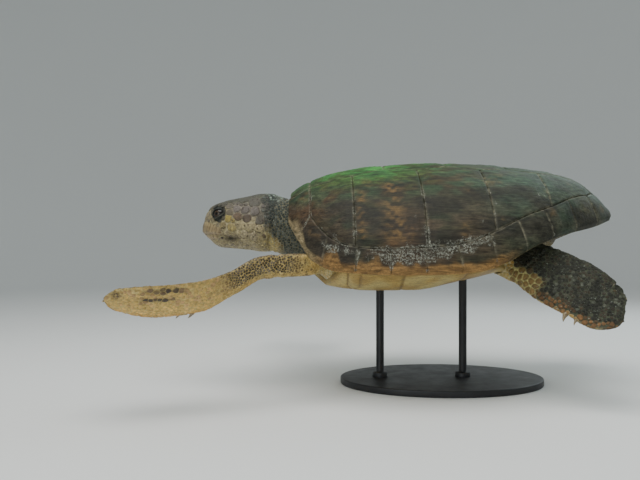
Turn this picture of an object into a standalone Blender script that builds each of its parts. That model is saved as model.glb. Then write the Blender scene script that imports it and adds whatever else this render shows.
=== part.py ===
"""A life-size loggerhead turtle swimming, held up by a display stand.

Metres, +Z up. The turtle faces -X and its left side is at -Y. The origin is the centre of the
stand's underside. The shell is laid out in two shares: u runs from its front edge (0) to its rear
edge (1), and v from the midline (0) to the rim on either side (-1 and 1).
"""

import math
from bisect import bisect

import bmesh
import bpy
import numpy as np
from mathutils import Vector

# Driving dimensions
SHELL_LENGTH = 0.875
SHELL_FRONT = -0.42
SWIM_HEIGHT = 0.40  # height above the floor of the line that the body banks about
BANK = math.radians(8)  # left side down
PLATE = 0.014  # thickness of a shell plate
SEAM = 0.0008  # gap between two shell plates
FIT = 0.0005  # gap between two pieces that meet
UNDER_PLATE = 0.004  # room between the plates and the trunk, whose facets differ

HALF_WIDTH = ((0, 0.12), (0.03, 0.185), (0.08, 0.245), (0.2, 0.312), (0.36, 0.343), (0.5, 0.338),
              (0.66, 0.29), (0.8, 0.215), (0.92, 0.125), (1, 0.035))
RIM_HEIGHT = ((0, 0.062), (0.03, 0.028), (0.07, -0.012), (0.14, -0.03), (0.4, -0.027), (0.52, -0.021),
              (0.6, -0.003), (0.7, 0.034), (0.8, 0.053), (0.9, 0.060), (1, 0.067))
RIDGE_HEIGHT = ((0, 0.127), (0.05, 0.155), (0.12, 0.179), (0.25, 0.200), (0.45, 0.210), (0.6, 0.205),
                (0.76, 0.192), (0.87, 0.172), (0.94, 0.136), (1, 0.086))
DOME_POWER = 0.66
PLASTRON_HEIGHT = ((0.06, -0.084), (0.13, -0.104), (0.25, -0.115), (0.37, -0.113), (0.51, -0.087),
                   (0.6, -0.069), (0.8, -0.04))
PLASTRON_HALF_WIDTH = ((0.07, 0.05), (0.1, 0.125), (0.13, 0.2), (0.18, 0.27), (0.3, 0.296), (0.42, 0.298),
                       (0.54, 0.28), (0.6, 0.235), (0.66, 0.15), (0.76, 0.09), (0.8, 0.03))
TRUNK_ENDS = (0.035, 0.86)
TRUNK_REACH = 0.86
TRUNK_FULLNESS = ((0, 0.38), (0.04, 0.7), (0.1, 0.9), (0.2, 1), (0.8, 1), (0.9, 0.92), (0.96, 0.62),
                  (1, 0.3))
FLAT_HALF_WIDTH = 0.15  # the level middle of the plastron, which the bridges rise from

# Where the seam between the marginals and the inner plates runs
SEAM_HALF_WIDTH = ((0.062, 0.76), (0.085, 0.84), (0.12, 0.905), (0.17, 0.937), (0.25, 0.95), (0.45, 0.942),
                   (0.55, 0.912), (0.62, 0.885), (0.75, 0.842), (0.9, 0.66))
NUCHAL_REAR = 0.062
RIDGE_REAR = 0.935
NUCHAL_FRONT_V, NUCHAL_REAR_V = 0.45, 0.30
REAR_CORNER_V = 0.42
FRONT_CORNER_U, REAR_CORNER_U = 0.065, 0.90
VERTEBRAL_SEAMS = (NUCHAL_REAR, 0.29, 0.48, 0.665, 0.83, RIDGE_REAR)
VERTEBRAL_SEAM_V = (NUCHAL_REAR_V, 0.17, 0.165, 0.16, 0.17, REAR_CORNER_V)
COSTAL_SEAMS = (FRONT_CORNER_U, 0.19, 0.385, 0.575, 0.755, REAR_CORNER_U)
VERTEBRAL_CORNER_V = (None, 0.27, 0.265, 0.26, 0.26, None)
RIM_STATIONS = ((0, NUCHAL_FRONT_V), (0, 1), (0.03, 1), (0.10, 1), (0.19, 1), (0.285, 1), (0.38, 1),
                (0.475, 1), (0.57, 1), (0.66, 1), (0.745, 1), (0.83, 1), (0.92, 1), (1, 1), (1, 0))
SEAM_STATIONS = (None, None, FRONT_CORNER_U, 0.115, 0.2, 0.285, 0.375, 0.465, 0.555, 0.64, 0.725, 0.815,
                 REAR_CORNER_U)
RIM_THICK = 0.011
UNDERSIDE = 0.045  # how far a marginal plate's underside reaches in from the rim

THIN_TRAILING = 0.55  # how much thinner a flipper is behind than along its leading edge
CLAW_LENGTH = 0.022
CLAW_ROOT = 0.004  # depth of a claw in the flipper's edge
CLAW_RADIUS = 0.27  # share of the claw's length
SECOND_CLAW = 0.65  # length of the second claw as a share of the first
CLAW_BACK = 0.5  # how far a claw leans towards the tip

# Each flipper from the shoulder or hip to the tip: share of its length, place, half chord, half thickness
FORE_LEFT = ((0, (-0.29, -0.13, 0.358), 0.042, 0.033), (0.14, (-0.37, -0.19, 0.338), 0.044, 0.034),
             (0.3, (-0.47, -0.255, 0.334), 0.039, 0.025), (0.45, (-0.545, -0.295, 0.296), 0.042, 0.018),
             (0.6, (-0.62, -0.33, 0.264), 0.057, 0.013), (0.8, (-0.715, -0.365, 0.256), 0.06, 0.009),
             (0.94, (-0.79, -0.39, 0.263), 0.043, 0.006), (1, (-0.821, -0.401, 0.267), 0.014, 0.0025))
FORE_LEFT_LEAD = (0, 0.766, -0.643)
FORE_RIGHT = ((0, (-0.29, 0.13, 0.385), 0.045, 0.034), (0.14, (-0.36, 0.2, 0.382), 0.044, 0.034),
              (0.3, (-0.42, 0.29, 0.388), 0.039, 0.025), (0.45, (-0.445, 0.37, 0.386), 0.042, 0.018),
              (0.6, (-0.44, 0.455, 0.378), 0.057, 0.013), (0.8, (-0.405, 0.555, 0.366), 0.06, 0.009),
              (0.94, (-0.365, 0.63, 0.358), 0.043, 0.006), (1, (-0.345, 0.665, 0.355), 0.014, 0.0025))
FORE_RIGHT_LEAD = (-1, -0.2, -0.12)
HIND_LEFT = ((0, (0.12, -0.12, 0.362), 0.052, 0.036), (0.2, (0.185, -0.185, 0.341), 0.068, 0.032),
             (0.42, (0.24, -0.245, 0.304), 0.073, 0.02), (0.65, (0.292, -0.293, 0.273), 0.075, 0.012),
             (0.84, (0.322, -0.323, 0.246), 0.067, 0.008), (0.95, (0.351, -0.343, 0.239), 0.053, 0.005),
             (1, (0.368, -0.352, 0.237), 0.03, 0.003))
HIND_LEFT_LEAD = (0, -0.57, -0.82)
HIND_RIGHT = ((0, (0.1, 0.13, 0.375), 0.05, 0.032), (0.2, (0.19, 0.165, 0.35), 0.064, 0.028),
              (0.42, (0.27, 0.19, 0.338), 0.073, 0.018), (0.65, (0.35, 0.2, 0.332), 0.075, 0.012),
              (0.84, (0.42, 0.205, 0.33), 0.068, 0.008), (0.95, (0.465, 0.205, 0.33), 0.053, 0.005),
              (1, (0.486, 0.205, 0.331), 0.022, 0.003))
HIND_RIGHT_LEAD = (0, 1, 0.14)
FORE_CLAWS = (0.62, 0.685)
HIND_CLAWS = (0.68, 0.78)

# Head and neck: x, top, bottom, half width, height of the widest level
HEAD_SQUARE = 0.82  # 1 gives round sections, less gives squarer ones
HEAD = ((-0.663, 0.436, 0.412, 0.004, 0.425), (-0.657, 0.455, 0.404, 0.018, 0.425),
        (-0.6515, 0.472, 0.402, 0.026, 0.425), (-0.635, 0.493, 0.39, 0.042, 0.43),
        (-0.607, 0.504, 0.376, 0.056, 0.435), (-0.579, 0.511, 0.373, 0.068, 0.435),
        (-0.54, 0.518, 0.37, 0.079, 0.43), (-0.5, 0.526, 0.364, 0.085, 0.43),
        (-0.475, 0.527, 0.364, 0.084, 0.435), (-0.455, 0.525, 0.374, 0.078, 0.44))
JAW = ((-0.651, 0.43, 0.406, 0.006, 0.42), (-0.64, 0.44, 0.394, 0.028, 0.42),
       (-0.61, 0.44, 0.375, 0.047, 0.42), (-0.57, 0.44, 0.372, 0.063, 0.42),
       (-0.52, 0.44, 0.366, 0.076, 0.42), (-0.48, 0.44, 0.362, 0.08, 0.42))
MOUTH = ((-0.7, 0.4095), (-0.6, 0.4085), (-0.556, 0.3975), (-0.515, 0.34), (-0.7, 0.34))
EYE = (-0.61, -0.037, 0.4665)
EYE_RADIUS = 0.0185
NECK = ((-0.48, 0.522, 0.366, 0.078, 0.44), (-0.45, 0.524, 0.358, 0.08, 0.44),
        (-0.42, 0.51, 0.341, 0.092, 0.43), (-0.37, 0.505, 0.332, 0.105, 0.425), (-0.3, 0.49, 0.332, 0.105, 0.42))
TAIL = ((0.24, 0.44, 0.38, 0.03, 0.41), (0.3, 0.432, 0.39, 0.022, 0.412), (0.34, 0.428, 0.404, 0.013, 0.416),
        (0.37, 0.424, 0.416, 0.005, 0.42))

# Stand
BASE_LENGTH, BASE_WIDTH, BASE_THICK = 0.56, 0.4, 0.018
ROD_FRONT, ROD_REAR, ROD_RADIUS = -0.17, 0.06, 0.011

SHELL_BROWN = (0.085, 0.055, 0.032, 1)
SKIN_YELLOW = (0.55, 0.42, 0.2, 1)
HORN_BROWN = (0.12, 0.09, 0.05, 1)


def through(points, at):
    """Value at one place of the smooth curve through (place, value) points, which never overshoots them."""
    places = [place for place, _ in points]
    values = [np.array(value, float) for _, value in points]
    rises = [(b - a) / (q - p) for a, b, p, q in zip(values, values[1:], places, places[1:])]
    i = min(max(bisect(places, at) - 1, 0), len(points) - 2)

    def slope(k):
        before, after = rises[max(k - 1, 0)], rises[min(k, len(rises) - 1)]
        return np.where(before * after > 0, 2 * before * after / (before + after + 1e-30), 0)

    span = places[i + 1] - places[i]
    t = min(max((at - places[i]) / span, 0.0), 1.0)
    value = ((2 * t**3 - 3 * t**2 + 1) * values[i] + (t**3 - 2 * t**2 + t) * span * slope(i)
             + (3 * t**2 - 2 * t**3) * values[i + 1] + (t**3 - t**2) * span * slope(i + 1))
    return float(value) if value.ndim == 0 else Vector(value)


def along_line(corners, t):
    """Point a share t of the way along a line of corners, each leg taking an equal share."""
    legs = len(corners) - 1
    i = min(int(t * legs), legs - 1)
    start, end = np.array(corners[i], float), np.array(corners[i + 1], float)
    return start + (end - start) * (t * legs - i)


# Making objects

def clear_scene():
    for obj in list(bpy.data.objects):
        bpy.data.objects.remove(obj)


def finish(name, colour, roughness=0.6, metallic=0.0):
    """The named Principled material, made once."""
    material = bpy.data.materials.get(name)
    if material is None:
        material = bpy.data.materials.new(name)
        material.use_nodes = True
        shader = material.node_tree.nodes["Principled BSDF"]
        shader.inputs["Base Color"].default_value = colour
        shader.inputs["Roughness"].default_value = roughness
        shader.inputs["Metallic"].default_value = metallic
    return material


def add_object(name, bm, material, parent=None):
    bmesh.ops.triangulate(bm, faces=bm.faces)
    bmesh.ops.recalc_face_normals(bm, faces=bm.faces)
    if bm.calc_volume(signed=True) < 0:
        bmesh.ops.reverse_faces(bm, faces=bm.faces)
    mesh = bpy.data.meshes.new(name)
    bm.to_mesh(mesh)
    bm.free()
    mesh.materials.append(material)
    mesh.shade_smooth()
    mesh.set_sharp_from_angle(angle=math.radians(50))
    obj = bpy.data.objects.new(name, mesh)
    bpy.context.scene.collection.objects.link(obj)
    obj.parent = parent
    return obj


def tube(place, along, around):
    """A closed mesh: a grid rolled up by place(s, t), s along it and t once round it."""
    bm = bmesh.new()
    bmesh.ops.create_grid(bm, x_segments=along, y_segments=around, size=0.5)
    for vert in bm.verts:
        vert.co = place(vert.co.x + 0.5, vert.co.y + 0.5)
    bmesh.ops.remove_doubles(bm, verts=bm.verts, dist=1e-5)
    bmesh.ops.holes_fill(bm, edges=bm.edges, sides=0)
    return bm


def slab(place, along, across):
    """A closed mesh: a grid given thickness, its points set by place(s, t, inner)."""
    bm = bmesh.new()
    bmesh.ops.create_grid(bm, x_segments=along, y_segments=across, size=0.5)
    made = bmesh.ops.extrude_face_region(bm, geom=bm.faces[:], use_keep_orig=True)
    inner = {item for item in made["geom"] if isinstance(item, bmesh.types.BMVert)}
    for vert in bm.verts:
        vert.co = place(vert.co.x + 0.5, vert.co.y + 0.5, vert in inner)
    return bm


def cutter_of(obj, grown):
    """A hidden copy of obj, its surface moved out by grown, for cutting its neighbours."""
    bm = bmesh.new()
    bm.from_mesh(obj.data)
    bm.normal_update()
    moved = [vert.co + vert.normal * grown * min(vert.calc_shell_factor(), 2) for vert in bm.verts]
    for vert, place in zip(bm.verts, moved):
        vert.co = place
    cutter = add_object(obj.name + "_cutter", bm, obj.data.materials[0], obj.parent)
    cutter.location = obj.location
    cutter.hide_render = True
    cutter.display_type = "WIRE"
    return cutter


def cut(obj, cutter, operation="DIFFERENCE"):
    boolean = obj.modifiers.new("fit to " + cutter.name, "BOOLEAN")
    boolean.object = cutter
    boolean.operation = operation
    boolean.solver = "EXACT"


# Shell

def dome(u, v, depth=0.0):
    """Point of the carapace's outer surface, or that far below it along its normal."""
    def surface(u, v):
        half = through(HALF_WIDTH, u)
        rim, ridge = through(RIM_HEIGHT, u), through(RIDGE_HEIGHT, u)
        height = rim + (ridge - rim) * max(1 - v * v, 0) ** DOME_POWER
        return Vector((SHELL_FRONT + SHELL_LENGTH * u, half * v, height))

    point = surface(u, v)
    if depth:
        step = 1e-3
        ahead = surface(min(u + step, 1), v) - surface(max(u - step, 0), v)
        side = surface(u, min(v + step, 0.999)) - surface(u, max(v - step, -0.999))
        point -= ahead.cross(side).normalized() * depth
    return point


def scute(name, near, far, sign, material, parent, along=6, across=6):
    """A plate between two lines of (u, v) corners, each running from front to rear."""
    def spot(s, t):
        u, v = along_line(near, t) * (1 - s) + along_line(far, t) * s
        return float(u), float(v) * sign

    wide = (dome(*spot(0, 0.5)) - dome(*spot(1, 0.5))).length
    long = (dome(*spot(0.5, 0)) - dome(*spot(0.5, 1))).length

    def place(s, t, inner):
        s += (0.5 - s) * SEAM / wide
        t += (0.5 - t) * SEAM / long
        return dome(*spot(t, s), PLATE if inner else 0.0)

    return add_object(name, slab(place, along, across), material, parent)


def seam_point(k):
    """(u, v) of the seam inside the marginals, at station k from the nuchal back."""
    if k <= 2:
        front_corner = (FRONT_CORNER_U, through(SEAM_HALF_WIDTH, FRONT_CORNER_U))
        return along_line(((NUCHAL_REAR, NUCHAL_REAR_V), front_corner), k / 2)
    last = len(SEAM_STATIONS) - 1
    if k <= last:
        u = through(tuple(enumerate(SEAM_STATIONS))[2:], k)
        return np.array((u, through(SEAM_HALF_WIDTH, u)))
    corner = (REAR_CORNER_U, through(SEAM_HALF_WIDTH, REAR_CORNER_U))
    return along_line((corner, (RIDGE_REAR, REAR_CORNER_V), (RIDGE_REAR, 0)), (k - last) / 2)


def rim_point(k):
    """(u, v) of the rim at station k."""
    i = min(int(k), len(RIM_STATIONS) - 2)
    start, end = np.array(RIM_STATIONS[i], float), np.array(RIM_STATIONS[i + 1], float)
    return start + (end - start) * (k - i)


def marginal_section(k, t, sign):
    """Point t of the way round the wedge-shaped section of the marginals at station k."""
    (seam_u, seam_v), (rim_u, rim_v) = seam_point(k), rim_point(k)
    top = dome(seam_u, seam_v * sign)
    rim = dome(rim_u, rim_v * sign)
    inward = (top - rim).to_2d().normalized().to_3d()
    middle_u, middle_v = (seam_u + rim_u) / 2, (seam_v + rim_v) / 2
    corners = (top, dome(middle_u, middle_v * sign), rim,
               rim + inward * 0.004 - Vector((0, 0, RIM_THICK)),
               rim + inward * UNDERSIDE - Vector((0, 0, RIM_THICK + 0.003)),
               dome(seam_u, seam_v * sign, PLATE), top)
    return Vector(along_line(corners, t))


def marginals(name, sign, material, parent):
    """The rim's plates on one side, from the nuchal to the notch over the tail, as one strip."""
    stations = len(RIM_STATIONS) - 1
    first, last = 0.014, stations - 0.012

    def place(s, t):
        k = first + (last - first) * s
        point = marginal_section(k, t, sign)
        if t < 1 / 12 or t > 9 / 12:
            point += (marginal_section(k, 0.4, sign) - point).normalized() * SEAM
        return point

    return add_object(name, tube(place, stations * 2, 6), material, parent)


def nuchal(material, parent):
    """The plate over the neck: flat-fronted, thick at its edge like the marginals."""
    def place(s, t, inner):
        s += (0.5 - s) * 0.012
        t += (0.5 - t) * 0.012
        reach = NUCHAL_FRONT_V + (NUCHAL_REAR_V - NUCHAL_FRONT_V) * s
        return dome(NUCHAL_REAR * s, reach * (2 * t - 1), PLATE if inner else 0.0)

    return add_object("shell_nuchal", slab(place, 3, 4), material, parent)


def carapace(parent):
    brown = finish("carapace", SHELL_BROWN, 0.55)
    nuchal(brown, parent)
    for side, sign in (("left", -1), ("right", 1)):
        marginals("shell_marginals_" + side, sign, brown, parent)
        for i in range(5):
            front, rear = COSTAL_SEAMS[i], COSTAL_SEAMS[i + 1]
            inner = [(VERTEBRAL_SEAMS[i], VERTEBRAL_SEAM_V[i])]
            if i > 0:
                inner.insert(0, (front, VERTEBRAL_CORNER_V[i]))
            if i < 4:
                inner.append((rear, VERTEBRAL_CORNER_V[i + 1]))
            else:
                inner.append((RIDGE_REAR, REAR_CORNER_V))
            outer = [(u, through(SEAM_HALF_WIDTH, u)) for u in np.linspace(front, rear, 7)]
            # the last one meets the fifth vertebral along one straight seam, at the same points
            along = 12 if i == 4 else 6
            scute(f"shell_costal_{side}_{i + 1}", inner, outer, sign, brown, parent, along, 5)
    for i in range(5):
        edge = [(VERTEBRAL_SEAMS[i], VERTEBRAL_SEAM_V[i]), (VERTEBRAL_SEAMS[i + 1], VERTEBRAL_SEAM_V[i + 1])]
        if i < 4:
            edge.insert(1, (COSTAL_SEAMS[i + 1], VERTEBRAL_CORNER_V[i + 1]))
        scute(f"shell_vertebral_{i + 1}", [(u, -v) for u, v in edge], edge, 1, brown, parent, 6, 4)


def plastron_point(u, y, lift=0.0):
    """Point of the belly shell's outer surface: level in the middle, rising to the rim at the bridges."""
    bridge = max(through(HALF_WIDTH, u) - UNDERSIDE - FLAT_HALF_WIDTH, 0.085)
    rise = min(max((abs(y) - FLAT_HALF_WIDTH) / bridge, 0), 1) ** 1.5
    low = through(PLASTRON_HEIGHT, u)
    top = through(RIM_HEIGHT, u) - RIM_THICK - 0.009
    return Vector((SHELL_FRONT + SHELL_LENGTH * u, y, low + max(top - low, 0) * rise + lift))


def plastron(parent):
    yellow = finish("plastron", (0.62, 0.45, 0.2, 1), 0.5)
    front, rear = PLASTRON_HALF_WIDTH[0][0], PLASTRON_HALF_WIDTH[-1][0]

    def place(s, t, inner):
        u = front + (rear - front) * s
        half = through(PLASTRON_HALF_WIDTH, u)
        point = plastron_point(u, half * (2 * t - 1))
        if inner:
            point += Vector((0, (0.5 - t) * 0.02, PLATE))
        return point

    return add_object("plastron", slab(place, 13, 12), yellow, parent)


def trunk(parent):
    """The body inside the shell. It fills the openings at the front and rear, behind the limbs."""
    flesh = finish("trunk", SKIN_YELLOW, 0.7)
    front, rear = TRUNK_ENDS
    upper, lower = 10, 8

    def place(s, t):
        u = front + (rear - front) * s
        share = t * (upper + lower)
        depth = PLATE + UNDER_PLATE
        if share <= upper:
            point = dome(u, TRUNK_REACH * (2 * share / upper - 1), depth)
        else:
            half = min(through(HALF_WIDTH, u) - 0.055, 0.28)
            y = half * (1 - 2 * (share - upper) / lower)
            point = plastron_point(u, y, PLATE + UNDER_PLATE + 0.001)
            if share >= upper + lower:
                point = dome(u, -TRUNK_REACH, depth)
        middle = Vector((point.x, 0, (through(RIDGE_HEIGHT, u) + through(PLASTRON_HEIGHT, u)) / 2 - 0.015))
        return middle + (point - middle) * through(TRUNK_FULLNESS, s)

    return add_object("trunk", tube(place, 14, upper + lower), flesh, parent)


# Flesh

def heading(path, lead, share):
    """Which way a limb runs at one place, and the direction of its leading edge square to that."""
    step = 0.01
    ahead = through(path, min(share + step, 1)) - through(path, max(share - step, 0))
    ahead.normalize()
    forward = Vector(lead) - ahead * ahead.dot(Vector(lead))
    return ahead, forward.normalized()


def sweep(name, stations, lead, material, along, around):
    """A limb through (share, place, half chord, half thickness) stations, leading edge towards lead."""
    path = [(share, place) for share, place, _, _ in stations]
    sizes = [(share, (chord, thick, 0)) for share, _, chord, thick in stations]

    def place(s, t):
        ahead, forward = heading(path, lead, s)
        chord, thick, _ = through(sizes, s)
        turn = 2 * math.pi * t
        thick *= 1 - THIN_TRAILING * (1 - math.cos(turn)) / 2
        across = forward * chord * math.cos(turn)
        return through(path, s) + across + ahead.cross(forward) * thick * math.sin(turn)

    return add_object(name, tube(place, along, around), material)


def loft(name, stations, material, along, around):
    """A shape through (x, top, bottom, half width, height of the widest level) stations."""
    sizes = [(x, (top, bottom, half)) for x, top, bottom, half, _ in stations]
    levels = [(x, level) for x, _, _, _, level in stations]
    first, last = stations[0][0], stations[-1][0]

    def place(s, t):
        # rings crowd towards the blunt snout
        x = first + (last - first) * s ** 1.5
        top, bottom, half = through(sizes, x)
        level = through(levels, x)
        turn = 2 * math.pi * t
        side, up = math.cos(turn), math.sin(turn)
        y = half * math.copysign(abs(side) ** HEAD_SQUARE, side)
        rise = abs(up) ** HEAD_SQUARE
        z = level + ((top - level) if up >= 0 else (bottom - level)) * rise
        return Vector((x, y, z))

    return add_object(name, tube(place, along, around), material)


def prism(name, outline, material):
    """An outline in the XZ plane drawn out past both cheeks, as a hidden cutter."""
    half = 0.2
    bm = bmesh.new()
    face = bm.faces.new([bm.verts.new((x, -half, z)) for x, z in outline])
    drawn = bmesh.ops.extrude_face_region(bm, geom=[face])
    far = [item for item in drawn["geom"] if isinstance(item, bmesh.types.BMVert)]
    bmesh.ops.translate(bm, vec=(0, 2 * half, 0), verts=far)
    obj = add_object(name, bm, material)
    obj.hide_render = True
    obj.display_type = "WIRE"
    return obj


def ball(name, centre, radius, material):
    bm = bmesh.new()
    bmesh.ops.create_uvsphere(bm, u_segments=14, v_segments=10, radius=radius)
    obj = add_object(name, bm, material)
    obj.location = centre
    return obj


def claw(name, root, tip, radius, material):
    """A horn spike out of a flipper's leading edge."""
    length = (tip - root).length
    bm = bmesh.new()
    bmesh.ops.create_cone(bm, cap_ends=True, segments=8, radius1=radius, radius2=radius * 0.15, depth=length)
    obj = add_object(name, bm, material)
    obj.location = (root + tip) / 2
    obj.rotation_mode = "QUATERNION"
    obj.rotation_quaternion = Vector((0, 0, 1)).rotation_difference(tip - root)
    return obj


def flipper(name, stations, lead, claw_shares, skin, horn, neighbours):
    """One flipper, cut clear of the pieces it comes out between, and its two claws."""
    limb = sweep(name, stations, lead, skin, 15, 12)
    for neighbour in neighbours:
        cut(limb, neighbour)
    limb_cutter = cutter_of(limb, FIT)
    path = [(share, place) for share, place, _, _ in stations]
    chords = [(share, chord) for share, _, chord, _ in stations]
    for i, share in enumerate(claw_shares):
        ahead, forward = heading(path, lead, share)
        edge = through(path, share) + forward * through(chords, share)
        length = CLAW_LENGTH * SECOND_CLAW**i
        tip = edge + (forward + ahead * CLAW_BACK).normalized() * length
        spike = claw(f"{name}_claw_{i + 1}", edge - forward * CLAW_ROOT, tip, length * CLAW_RADIUS, horn)
        cut(spike, limb_cutter)
    return limb_cutter


def head_and_neck(skin, neck_neighbours):
    """The head with its sockets and open mouth line, the lower jaw, the eyes and the neck."""
    head = loft("head", HEAD, skin, 20, 20)
    jaw = loft("lower_jaw", JAW, skin, 12, 16)
    neck = loft("neck", NECK, skin, 7, 16)
    cut(head, prism("mouth_cutter", MOUTH, skin))
    lowered = [(x - FIT, z - FIT) for x, z in MOUTH]
    cut(jaw, prism("jaw_cutter", lowered, skin), "INTERSECT")
    for side, sign in (("left", 1), ("right", -1)):
        x, y, z = EYE
        eye = ball("eye_" + side, (x, y * sign, z), EYE_RADIUS, finish("eye", (0.03, 0.025, 0.02, 1), 0.1))
        cut(head, cutter_of(eye, FIT))
    cut(neck, cutter_of(head, FIT))
    for neighbour in neck_neighbours:
        cut(neck, neighbour)


def stand(belly_cutter):
    """A flat oval base with two short rods up to the plastron."""
    steel = finish("stand", (0.05, 0.05, 0.055, 1), 0.4, 0.6)
    bm = bmesh.new()
    bmesh.ops.create_cone(bm, cap_ends=True, segments=48, radius1=0.5, radius2=0.5, depth=BASE_THICK)
    bmesh.ops.scale(bm, vec=(BASE_LENGTH, BASE_WIDTH, 1), verts=bm.verts)
    bmesh.ops.translate(bm, vec=(0, 0, BASE_THICK / 2), verts=bm.verts)
    add_object("stand_base", bm, steel)
    for name, x in (("front", ROD_FRONT), ("rear", ROD_REAR)):
        belly = through(PLASTRON_HEIGHT, (x - SHELL_FRONT) / SHELL_LENGTH)
        height = SWIM_HEIGHT + belly + PLATE / 2 - BASE_THICK - FIT
        bm = bmesh.new()
        bmesh.ops.create_cone(bm, cap_ends=True, segments=16, radius1=ROD_RADIUS, radius2=ROD_RADIUS,
                              depth=height)
        rod = add_object("stand_rod_" + name, bm, steel)
        rod.location = (x, 0, BASE_THICK + FIT + height / 2)
        cut(rod, belly_cutter)


# Assembly: the shell and trunk bank together, and the limbs, head and stand are placed in the world

clear_scene()
body = bpy.data.objects.new("banked_body", None)
bpy.context.scene.collection.objects.link(body)
body.location.z = SWIM_HEIGHT
body.rotation_euler.x = BANK

carapace(body)
belly_plate = plastron(body)
trunk_flesh = trunk(body)
nuchal_cutter = cutter_of(bpy.data.objects["shell_nuchal"], FIT)
rim_cutters = {}
for side in ("left", "right"):
    rim = bpy.data.objects["shell_marginals_" + side]
    rim_cutters[side] = cutter_of(rim, FIT)
    cut(rim, nuchal_cutter)
    cut(belly_plate, rim_cutters[side])
    cut(trunk_flesh, rim_cutters[side])
belly_cutter = cutter_of(belly_plate, FIT)
cut(trunk_flesh, belly_cutter)
cut(trunk_flesh, nuchal_cutter)
trunk_cutter = cutter_of(trunk_flesh, FIT)

skin = finish("skin", SKIN_YELLOW, 0.65)
horn = finish("horn", HORN_BROWN, 0.35)
limb_cutters = {}
for name, stations, lead, side, claws in (
    ("fore_flipper_left", FORE_LEFT, FORE_LEFT_LEAD, "left", FORE_CLAWS),
    ("fore_flipper_right", FORE_RIGHT, FORE_RIGHT_LEAD, "right", FORE_CLAWS),
    ("hind_flipper_left", HIND_LEFT, HIND_LEFT_LEAD, "left", HIND_CLAWS),
    ("hind_flipper_right", HIND_RIGHT, HIND_RIGHT_LEAD, "right", HIND_CLAWS),
):
    neighbours = (trunk_cutter, rim_cutters[side], belly_cutter)
    limb_cutters[name] = flipper(name, stations, lead, claws, skin, horn, neighbours)
head_and_neck(skin, (trunk_cutter, belly_cutter, nuchal_cutter, *rim_cutters.values(),
                     limb_cutters["fore_flipper_left"], limb_cutters["fore_flipper_right"]))
tail = loft("tail", TAIL, skin, 6, 10)
cut(tail, trunk_cutter)
stand(belly_cutter)
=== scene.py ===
import math
from bisect import bisect
from itertools import product

import bmesh
import bpy
import numpy as np
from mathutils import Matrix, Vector
from mathutils.bvhtree import BVHTree
from mathutils.kdtree import KDTree


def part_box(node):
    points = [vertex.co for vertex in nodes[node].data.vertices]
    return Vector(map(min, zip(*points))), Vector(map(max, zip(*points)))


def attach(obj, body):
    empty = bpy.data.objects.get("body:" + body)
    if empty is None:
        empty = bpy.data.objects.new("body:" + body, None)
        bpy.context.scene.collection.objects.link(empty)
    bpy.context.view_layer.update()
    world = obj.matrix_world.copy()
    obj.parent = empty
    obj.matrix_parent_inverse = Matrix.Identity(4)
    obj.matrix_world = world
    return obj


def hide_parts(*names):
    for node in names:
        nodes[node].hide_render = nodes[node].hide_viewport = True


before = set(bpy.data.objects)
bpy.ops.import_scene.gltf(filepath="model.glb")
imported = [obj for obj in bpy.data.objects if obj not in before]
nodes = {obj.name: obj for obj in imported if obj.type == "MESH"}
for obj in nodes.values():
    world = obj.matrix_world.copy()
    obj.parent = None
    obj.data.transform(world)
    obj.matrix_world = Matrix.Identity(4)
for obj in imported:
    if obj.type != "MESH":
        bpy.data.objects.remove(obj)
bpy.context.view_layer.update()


# ---- View, floor and light ----
# The turtle hangs at eye height, seen level from its left side. A pale round floor curves up
# into a wall far behind it on every side, and soft boxes light it mostly from above.

VIEW_DISTANCE = 2.0
VIEW_ANGLE = math.radians(48)
camera_data = bpy.data.cameras.new("view")
camera_data.sensor_width = 36
camera_data.lens = camera_data.sensor_width / 2 / math.tan(VIEW_ANGLE / 2)
camera = bpy.data.objects.new("view", camera_data)
camera.location = (-0.337, -VIEW_DISTANCE, 0.397)
camera.rotation_euler = (math.pi / 2, 0, 0)
bpy.context.scene.collection.objects.link(camera)
bpy.context.scene.camera = camera


def material(name, colour, roughness, metallic=0.0, specular=0.5):
    """A new Principled material, its node tree and its shader."""
    made = bpy.data.materials.new(name)
    made.use_nodes = True
    shader = made.node_tree.nodes["Principled BSDF"]
    shader.inputs["Base Color"].default_value = (*colour, 1)
    shader.inputs["Roughness"].default_value = roughness
    shader.inputs["Metallic"].default_value = metallic
    shader.inputs["Specular IOR Level"].default_value = specular
    return made, made.node_tree, shader


def finished(name, bm):
    """The mesh that a bmesh has built up, with the bmesh freed."""
    mesh = bpy.data.meshes.new(name)
    bm.to_mesh(mesh)
    bm.free()
    return mesh


def show(name, mesh, finish):
    """A smooth-shaded object at the origin that shows a mesh in its finish."""
    mesh.materials.append(finish)
    mesh.shade_smooth()
    obj = bpy.data.objects.new(name, mesh)
    bpy.context.scene.collection.objects.link(obj)
    return obj


def turned(profile, steps):
    """A bmesh of a line of (radius, height) points turned once round the upright axis."""
    bm = bmesh.new()
    line = [bm.verts.new((radius, 0, height)) for radius, height in profile]
    for start, end in zip(line, line[1:]):
        bm.edges.new((start, end))
    bmesh.ops.spin(bm, geom=bm.verts[:] + bm.edges[:], cent=(0, 0, 0), axis=(0, 0, 1), angle=2 * math.pi,
                   steps=steps, use_merge=True)
    return bm


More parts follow.
